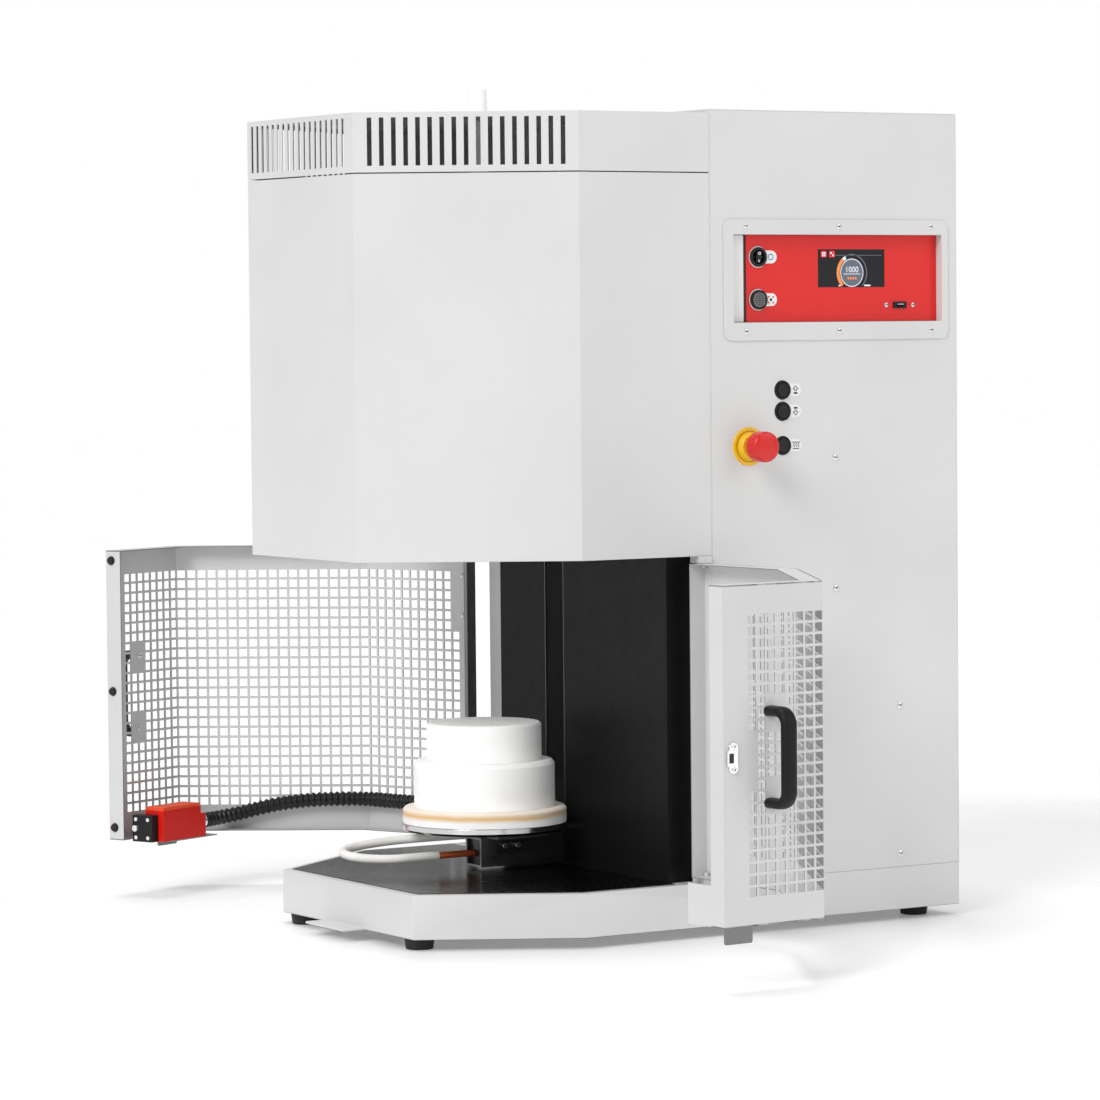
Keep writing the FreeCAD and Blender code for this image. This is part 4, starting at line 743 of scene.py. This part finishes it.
# Sheet metal and structure
soften("base_pan", paint, 1.5, merge=False)
for node, material, width in (("cabinet_wrap", paint, 0.7), ("cabinet_front", paint, 0.6),
                              ("cabinet_rear", paint, 0.4), ("head_hood", paint, 1.2),
                              ("vent_band", paint, 0.6), ("guard_pivots", paint, 0.8),
                              ("guard_catch", plastic, 1.0), ("lift_arm", arm_steel, 1.0),
                              ("instrument_bezel", bezel_paint, 0.7), ("hearth_tray", ring_steel, 0.8),
                              ("touch_display", glass, 0.5), ("rubber_feet", rubber, 1.5),
                              ("lug_bolts", chrome, 0.6)):
    soften(node, material, width)
for node, material in (("deck_plate", deck_steel), ("tower_cover", black_cover),
                       ("instrument_plate", red_paint), ("usb_socket", plastic), ("sounder", plastic),
                       ("rocker_housing", plastic), ("power_rocker", plastic), ("vent_spigot", ceramic),
                       ("chamber_block", ceramic),
                       ("roof_block", ceramic), ("heating_elements", element), ("thermocouple", ceramic),
                       ("guide_rods", chrome), ("bearing_plate", steel), ("lead_screw", steel),
                       ("lift_motor", dark_steel), ("lift_carriage", steel), ("transformer", element),
                       ("power_unit", dark_steel), ("control_board", board_green), ("fan_housing", plastic),
                       ("fan_rotor", plastic), ("mains_inlet", plastic), ("hearth_rod", copper),
                       ("conduit_gland", chrome), ("guard_buffers", rubber)):
    colour(node, material)
for node in ("hearth_cap", "hearth_step"):
    soften(node, ceramic, 0.8, 4)
soften("hearth_flange", fibre_with_band(0.1545, 0.0085), 0.8, 4)

# Interlock: bright screws and knob on the black head, an orange-red lid on the red body
head_face = at(*opened(SWITCH_X, SWITCH_Y, 0, True))
head_out = (at(*opened(SWITCH_X, SWITCH_Y + 1, 0, True)) - head_face).normalized()
switch_head = soften("interlock_head", plastic, 1.0)
tint(switch_head, chrome, lambda middle: (middle - head_face).dot(head_out) > 0.0001)
switch_body = soften("interlock_body", switch_red, 1.2)
tint(switch_body, lid_red, lambda middle: middle.z > (SWITCH_Z + 44.5) * 0.001)

# Light grey frame on the sawn edge round the lift arm's open end: painted highlight
ARM_END = 15.0
arm_end_highlight = [strip(288, 78, 291, 118), strip(325, 78, 328, 118),
            strip(291, 78, 325, 81), strip(291, 115, 325, 118)]
flat_shapes("arm_end_highlight", arm_end_highlight, lambda u, v, out: at(ARM_END - out, u, v), 0.3, highlight_grey, "hearth")


# Screws with a cross recess, its shade painted as a black cross
def cross_screw(name, x, y, z, radius, height, material):
    """A domed head on a surface facing the front."""
    lathe(name, [(0, height), (radius * 0.55, height * 0.92), (radius * 0.9, height * 0.55), (radius, 0.1),
                 (radius * 0.8, 0)], (x, y, z), (0, -1, 0), material, "furnace", 24)
    bar = radius * 0.6
    arms = [strip(x - bar, z - 0.5, x + bar, z + 0.5), strip(x - 0.5, z - bar, x + 0.5, z + bar)]
    # Black cross: painted shade in the recess
    front_plate(name + "_recess_shade", arms, y - height * 0.95, 0.08, ink)


for i, (x, z) in enumerate(((400, 630), (400, 455), (504.5, 292), (504.5, 91))):
    cross_screw(f"panel_screw_{i}", x, 0, z, 4.4, 2.2, chrome)
for i, x in enumerate((257, 407, 559)):
    for j, z in enumerate((799, 938)):
        cross_screw(f"bezel_screw_{i}{j}", x, -2, z, 3.5, 1.6, chrome)
for i, x in enumerate((494, 538)):
    cross_screw(f"usb_screw_{i}", x, RECESS - 2, 833, 3.2, 1.6, chrome)
front_plate("usb_tongue", [strip(511, 833.2, 521.4, 834.8)], RECESS - 3.8, 0.4, chrome)

# Sounder: a grille of crossed ribs over a mesh
SWITCHES_X = 285
SOUNDER_Z = 841
RIB_REACHES = (4, 6.6, 8, 8.8, 8.8, 8, 6.6, 4)
lathe("sounder_mesh", [(0, -0.2), (9.6, -0.2), (9.6, 0), (0, 0)], (SWITCHES_X, RECESS - 6, SOUNDER_Z),
      (0, 1, 0), mesh_grey, "furnace")
ribs = [strip(276.6 + 2.4 * i, SOUNDER_Z - reach, 277.4 + 2.4 * i, SOUNDER_Z + reach)
        for i, reach in enumerate(RIB_REACHES)]
front_plate("sounder_ribs", ribs, RECESS - 6.2, 0.25, plastic)
cross_ribs = [strip(SWITCHES_X - reach, 833.2 + 2.4 * i, SWITCHES_X + reach, 832.4 + 2.4 * i)
              for i, reach in enumerate(RIB_REACHES)]
front_plate("sounder_cross_ribs", cross_ribs, RECESS - 6.2, 0.25, plastic)
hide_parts("panel_screws")
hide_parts("bezel_screws")


# Blank name strip and the labels round the switches and buttons
PLATE_Y = RECESS - 2
ROCKER_Z = 897.5
BUTTON_X = 315.3
UP_Z = 721.2
DOWN_Z = 693.0
STOP_Z = 647.5
BUTTONS = (("up", "up_button", UP_Z), ("down", "down_button", DOWN_Z), ("third", "hearth_button", STOP_Z))
LABEL_REACH = 30.2


def drop_label(name, x, z, reach, y):
    """A flat label round a button that runs out to a rounded tip on the right."""
    around = arc(x, z, 14.3, 38, 322, 32) + arc(x, z, 12, 322, 38, 32)
    rim = arc(x, z, 14.3, -38, 38, 1)
    tip = arc(x, z, 12, 38, -38, 10) + rim[:1] + arc(x + reach - 8.6, z, 8.6, -75, 75, 14) + rim[1:]
    return front_plate(name, [around, tip], y, 0.3, label)


def ring_part(cx, cz, inner, outer, start, end):
    return arc(cx, cz, outer, start, end, 40) + arc(cx, cz, inner, end, start, 40)


front_plate("name_strip", [rounded(239, 812, 262, 926, 1.5)], RECESS, 1.9, label, edge=0.3)
front_plate("plate_gap", [strip(262.2, 811.6, 266, 926.4)], RECESS, 1.2, ink)
drop_label("switch_label", SWITCHES_X, ROCKER_Z, LABEL_REACH, PLATE_Y)
drop_label("sounder_label", SWITCHES_X, SOUNDER_Z, LABEL_REACH, PLATE_Y)
for name, node, z in BUTTONS:
    drop_label(f"{name}_label", BUTTON_X, z, LABEL_REACH, 0)

# Marks on the labels
ARROW_X = 336.6
MARK_X = 305.6
ARROW = [(-1.9, -1.6), (1.9, -1.6), (1.9, 0.8), (5, 0.8), (0, 6.2), (-5, 0.8), (-1.9, 0.8)]
ARROW_INSIDE = [(-0.9, -0.8), (0.9, -0.8), (0.9, 1.6), (2.8, 1.6), (0, 4.7), (-2.8, 1.6), (-0.9, 1.6)]
for name, z, sign in (("up", UP_Z, 1), ("down", DOWN_Z, -1)):
    front_plate(f"{name}_arrow", [[(ARROW_X + a, z + sign * b) for a, b in ARROW]], -0.3, 0.1, ink)
    inside = [(ARROW_X + a, z + sign * b) for a, b in ARROW_INSIDE]
    front_plate(f"{name}_arrow_inside", [inside], -0.4, 0.06, label)
    low, high = sorted((z - sign * 5.4, z - sign * 3.0))
    front_plate(f"{name}_bar", [strip(333.6, low, 339.6, high)], -0.3, 0.1, ink)
waves = []
for i in range(3):
    left = [(332.9 + 3.7 * i + 0.9 * math.sin(k * math.pi / 3), 644.8 + k * 0.75) for k in range(9)]
    waves.append(left + [(x + 1.1, z) for x, z in reversed(left)])
front_plate("heat_waves", waves, -0.3, 0.1, ink)
heat_bars = [strip(331.8, 642.4, 341.6, 643.6), strip(330.4, 651.2, 343.0, 652.2)]
front_plate("heat_bar", heat_bars, -0.3, 0.1, ink)
front_plate("power_mark", [ring_part(MARK_X, ROCKER_Z, 3.2, 4.4, 0, 358)], PLATE_Y - 0.3, 0.1, blue_ink)
front_plate("alarm_mark", [arc(MARK_X, SOUNDER_Z, 2.0, 0, 340, 16)], PLATE_Y - 0.3, 0.1, ink)
corners = []
for side_x in (-1, 1):
    for side_z in (-1, 1):
        cx, cz = MARK_X + side_x * 3.6, SOUNDER_Z + side_z * 3.8
        corners.append(arc(cx, cz, 1.3, 0, 330, 10))
front_plate("alarm_corners", corners, PLATE_Y - 0.3, 0.1, red_ink)
front_plate("rocker_on", [ring_part(SWITCHES_X, 902.3, 1.2, 2.0, 0, 358)], RECESS - 6.1, 0.5, label)
front_plate("rocker_off", [strip(284.4, 890.6, 285.6, 894.0)], RECESS - 4.7, 0.5, label)

# The display's picture: a gauge with a number, two small tiles and a line
SCREEN_Y = PLATE_Y
GAUGE_X = 437.5
GAUGE_Z = 876.5
front_plate("gauge_ring", [ring_part(GAUGE_X, GAUGE_Z, 23.6, 25.2, 225, -45)], SCREEN_Y, 0.1, screen_grey)
front_plate("gauge_orange", [ring_part(GAUGE_X, GAUGE_Z, 20.2, 24.6, 228, 128)], SCREEN_Y, 0.14,
            screen_orange)
front_plate("gauge_tip", [ring_part(GAUGE_X, GAUGE_Z, 20.2, 24.6, 128, 116)], SCREEN_Y, 0.14, screen_white)
front_plate("gauge_disc", [arc(GAUGE_X, GAUGE_Z, 18.6, 0, 355, 48)], SCREEN_Y, 0.1, screen_grey)
front_plate("gauge_edge", [ring_part(GAUGE_X, GAUGE_Z, 17.8, 18.9, 0, 358)], SCREEN_Y - 0.1, 0.06,
            screen_white)
front_plate("gauge_line", [strip(GAUGE_X - 14, 874.4, GAUGE_X + 14, 875.2)], SCREEN_Y - 0.1, 0.06,
            screen_white)
marks = [strip(GAUGE_X - 7 + 4 * i, 867.6, GAUGE_X - 4.6 + 4 * i, 870.4) for i in range(4)]
front_plate("gauge_marks", marks, SCREEN_Y - 0.1, 0.06, screen_orange)
front_plate("screen_line", [strip(400, 899.4, 487, 900.2)], SCREEN_Y, 0.1, screen_grey)
screen_feet = [strip(416, 858.4, 419, 860.4), strip(458, 858.4, 468, 860.4)]
front_plate("screen_feet", screen_feet, SCREEN_Y, 0.1, screen_white)
for i, x in enumerate((387, 400.5)):
    front_plate(f"tile_{i}", [rounded(x, 897.2, x + 9.4, 905.6, 1.6)], SCREEN_Y, 0.1, screen_red)
    cells = [(x + 2 + 3.1 * a, 898.6 + 3.1 * b) for a in range(2) for b in range(2) if i == 0 or a != b]
    marks = [strip(u, v, u + 2.3, v + 2.3) for u, v in cells]
    front_plate(f"tile_mark_{i}", marks, SCREEN_Y - 0.1, 0.06, screen_white)


def number(name, text, x, z, y, size, material):
    """Plain numbers facing the front."""
    data = bpy.data.curves.new(name, "FONT")
    data.body = text
    data.size = size * 0.001
    data.align_x = "CENTER"
    data.align_y = "CENTER"
    data.extrude = 0.00005
    writing = bpy.data.objects.new(name, data)
    bpy.context.collection.objects.link(writing)
    bpy.context.view_layer.update()
    mesh = bpy.data.meshes.new_from_object(writing)
    bpy.data.objects.remove(writing)
    mesh.transform(Matrix.Translation(at(x, y - 0.06, z)) @ Matrix.Rotation(math.pi / 2, 4, "X"))
    return new_object(name, mesh, material, "furnace")


number("gauge_number", "1000", GAUGE_X, 880.4, SCREEN_Y - 0.1, 11, screen_white)

# Push buttons
ring_profile = [(9.7, 4), (9.7, -0.5), (10.4, -2.3), (11.6, -2.5), (12.6, -1.8), (13, -0.3), (13, 0), (11, 0),
                (11, 26), (9.7, 26)]
cap_profile = [(0, -2.6), (6, -2.75), (8.6, -3.4), (9.3, -3.1), (9.5, -2.4), (9.5, 4), (0, 4)]
for name, node, z in BUTTONS:
    centre = (BUTTON_X, 0, z)
    ring = lathe(f"{name}_ring", ring_profile, centre, (0, 1, 0), plastic, "furnace")
    if name == "up":
        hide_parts("button_rings")
    cap = lathe(f"{name}_cap", cap_profile, centre, (0, 1, 0), plastic, node)
    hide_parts(node)

# Emergency stop
STOP = (261, 0, STOP_Z)
collar_profile = [(8.2, -9), (14.6, -9), (15.2, -8.4), (17.8, -3), (18, -2), (24.8, -2), (25.4, -1.4),
                  (25.4, 0), (11, 0), (11, 34), (8.2, 34), (8.2, -9)]
collar = lathe("stop_ring", collar_profile, STOP, (0, 1, 0), yellow, "furnace")
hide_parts("stop_collar")
line_profile = [(20.0, -2), (20.0, -2.15), (20.7, -2.15), (20.7, -2)]
lathe("stop_ring_line", line_profile, STOP, (0, 1, 0), ink, "furnace")
mushroom_profile = [(0, 10), (7.9, 10), (7.9, -17.5), (14.6, -18.9), (18.4, -21.3), (20.1, -23.9),
                    (20.3, -25.5), (20.3, -40), (19.7, -42.2), (18.2, -43.8), (16, -44.3), (8, -44.8),
                    (0, -45)]
mushroom = lathe("stop_mushroom", mushroom_profile, STOP, (0, 1, 0), stop_red, "stop_button")
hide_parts("stop_button")

# Floor, lights and background
floor_mesh = bpy.data.meshes.new("floor")
floor_mesh.from_pydata([(-30, -30, 0), (30, -30, 0), (30, 30, 0), (-30, 30, 0)], [], [(0, 1, 2, 3)])
floor = bpy.data.objects.new("floor", floor_mesh)
bpy.context.collection.objects.link(floor)
floor_material = matt(shader("floor_white", (0.93, 0.93, 0.93), 0.3), 0.3)
add_ramp(floor_material, noise(floor_material, 3, 2), "Roughness", 0.27, 0.33)
floor_surface = floor_material.node_tree.nodes["Principled BSDF"]
floor_surface.inputs["Emission Color"].default_value = (1, 1, 1, 1)
floor_surface.inputs["Emission Strength"].default_value = 0.13
floor_mesh.materials.append(floor_material)


def soft_sun(name, towards, strength, angle):
    """A broad even light from one side. towards is the way it shines."""
    data = bpy.data.lights.new(name, "SUN")
    data.energy = strength
    data.angle = math.radians(angle)
    light = bpy.data.objects.new(name, data)
    bpy.context.collection.objects.link(light)
    light.rotation_euler = Vector(towards).to_track_quat("-Z", "Y").to_euler()
    return light


soft_sun("left_light", (0.72, 0.36, -0.59), 1.75, 26)
soft_sun("right_light", (-0.50, 0.72, -0.48), 0.65, 45)
soft_sun("top_light", (0.05, -0.14, -0.99), 1.25, 22)

world = bpy.data.worlds.new("studio")
bpy.context.scene.world = world
world.use_nodes = True
tree = world.node_tree
tree.nodes.clear()
soft = tree.nodes.new("ShaderNodeBackground")
soft.inputs["Color"].default_value = (0.99, 0.995, 1.0, 1)
soft.inputs["Strength"].default_value = 0.44
white = tree.nodes.new("ShaderNodeBackground")
white.inputs["Color"].default_value = (1, 1, 1, 1)
white.inputs["Strength"].default_value = 1.0
path = tree.nodes.new("ShaderNodeLightPath")
mixer = tree.nodes.new("ShaderNodeMixShader")
out = tree.nodes.new("ShaderNodeOutputWorld")
tree.links.new(path.outputs["Is Camera Ray"], mixer.inputs["Fac"])
tree.links.new(soft.outputs["Background"], mixer.inputs[1])
tree.links.new(white.outputs["Background"], mixer.inputs[2])
tree.links.new(mixer.outputs["Shader"], out.inputs["Surface"])
bpy.context.scene.view_settings.view_transform = "Standard"


def plain(corners):
    return [[round(v, 5) for v in corner] for corner in corners]
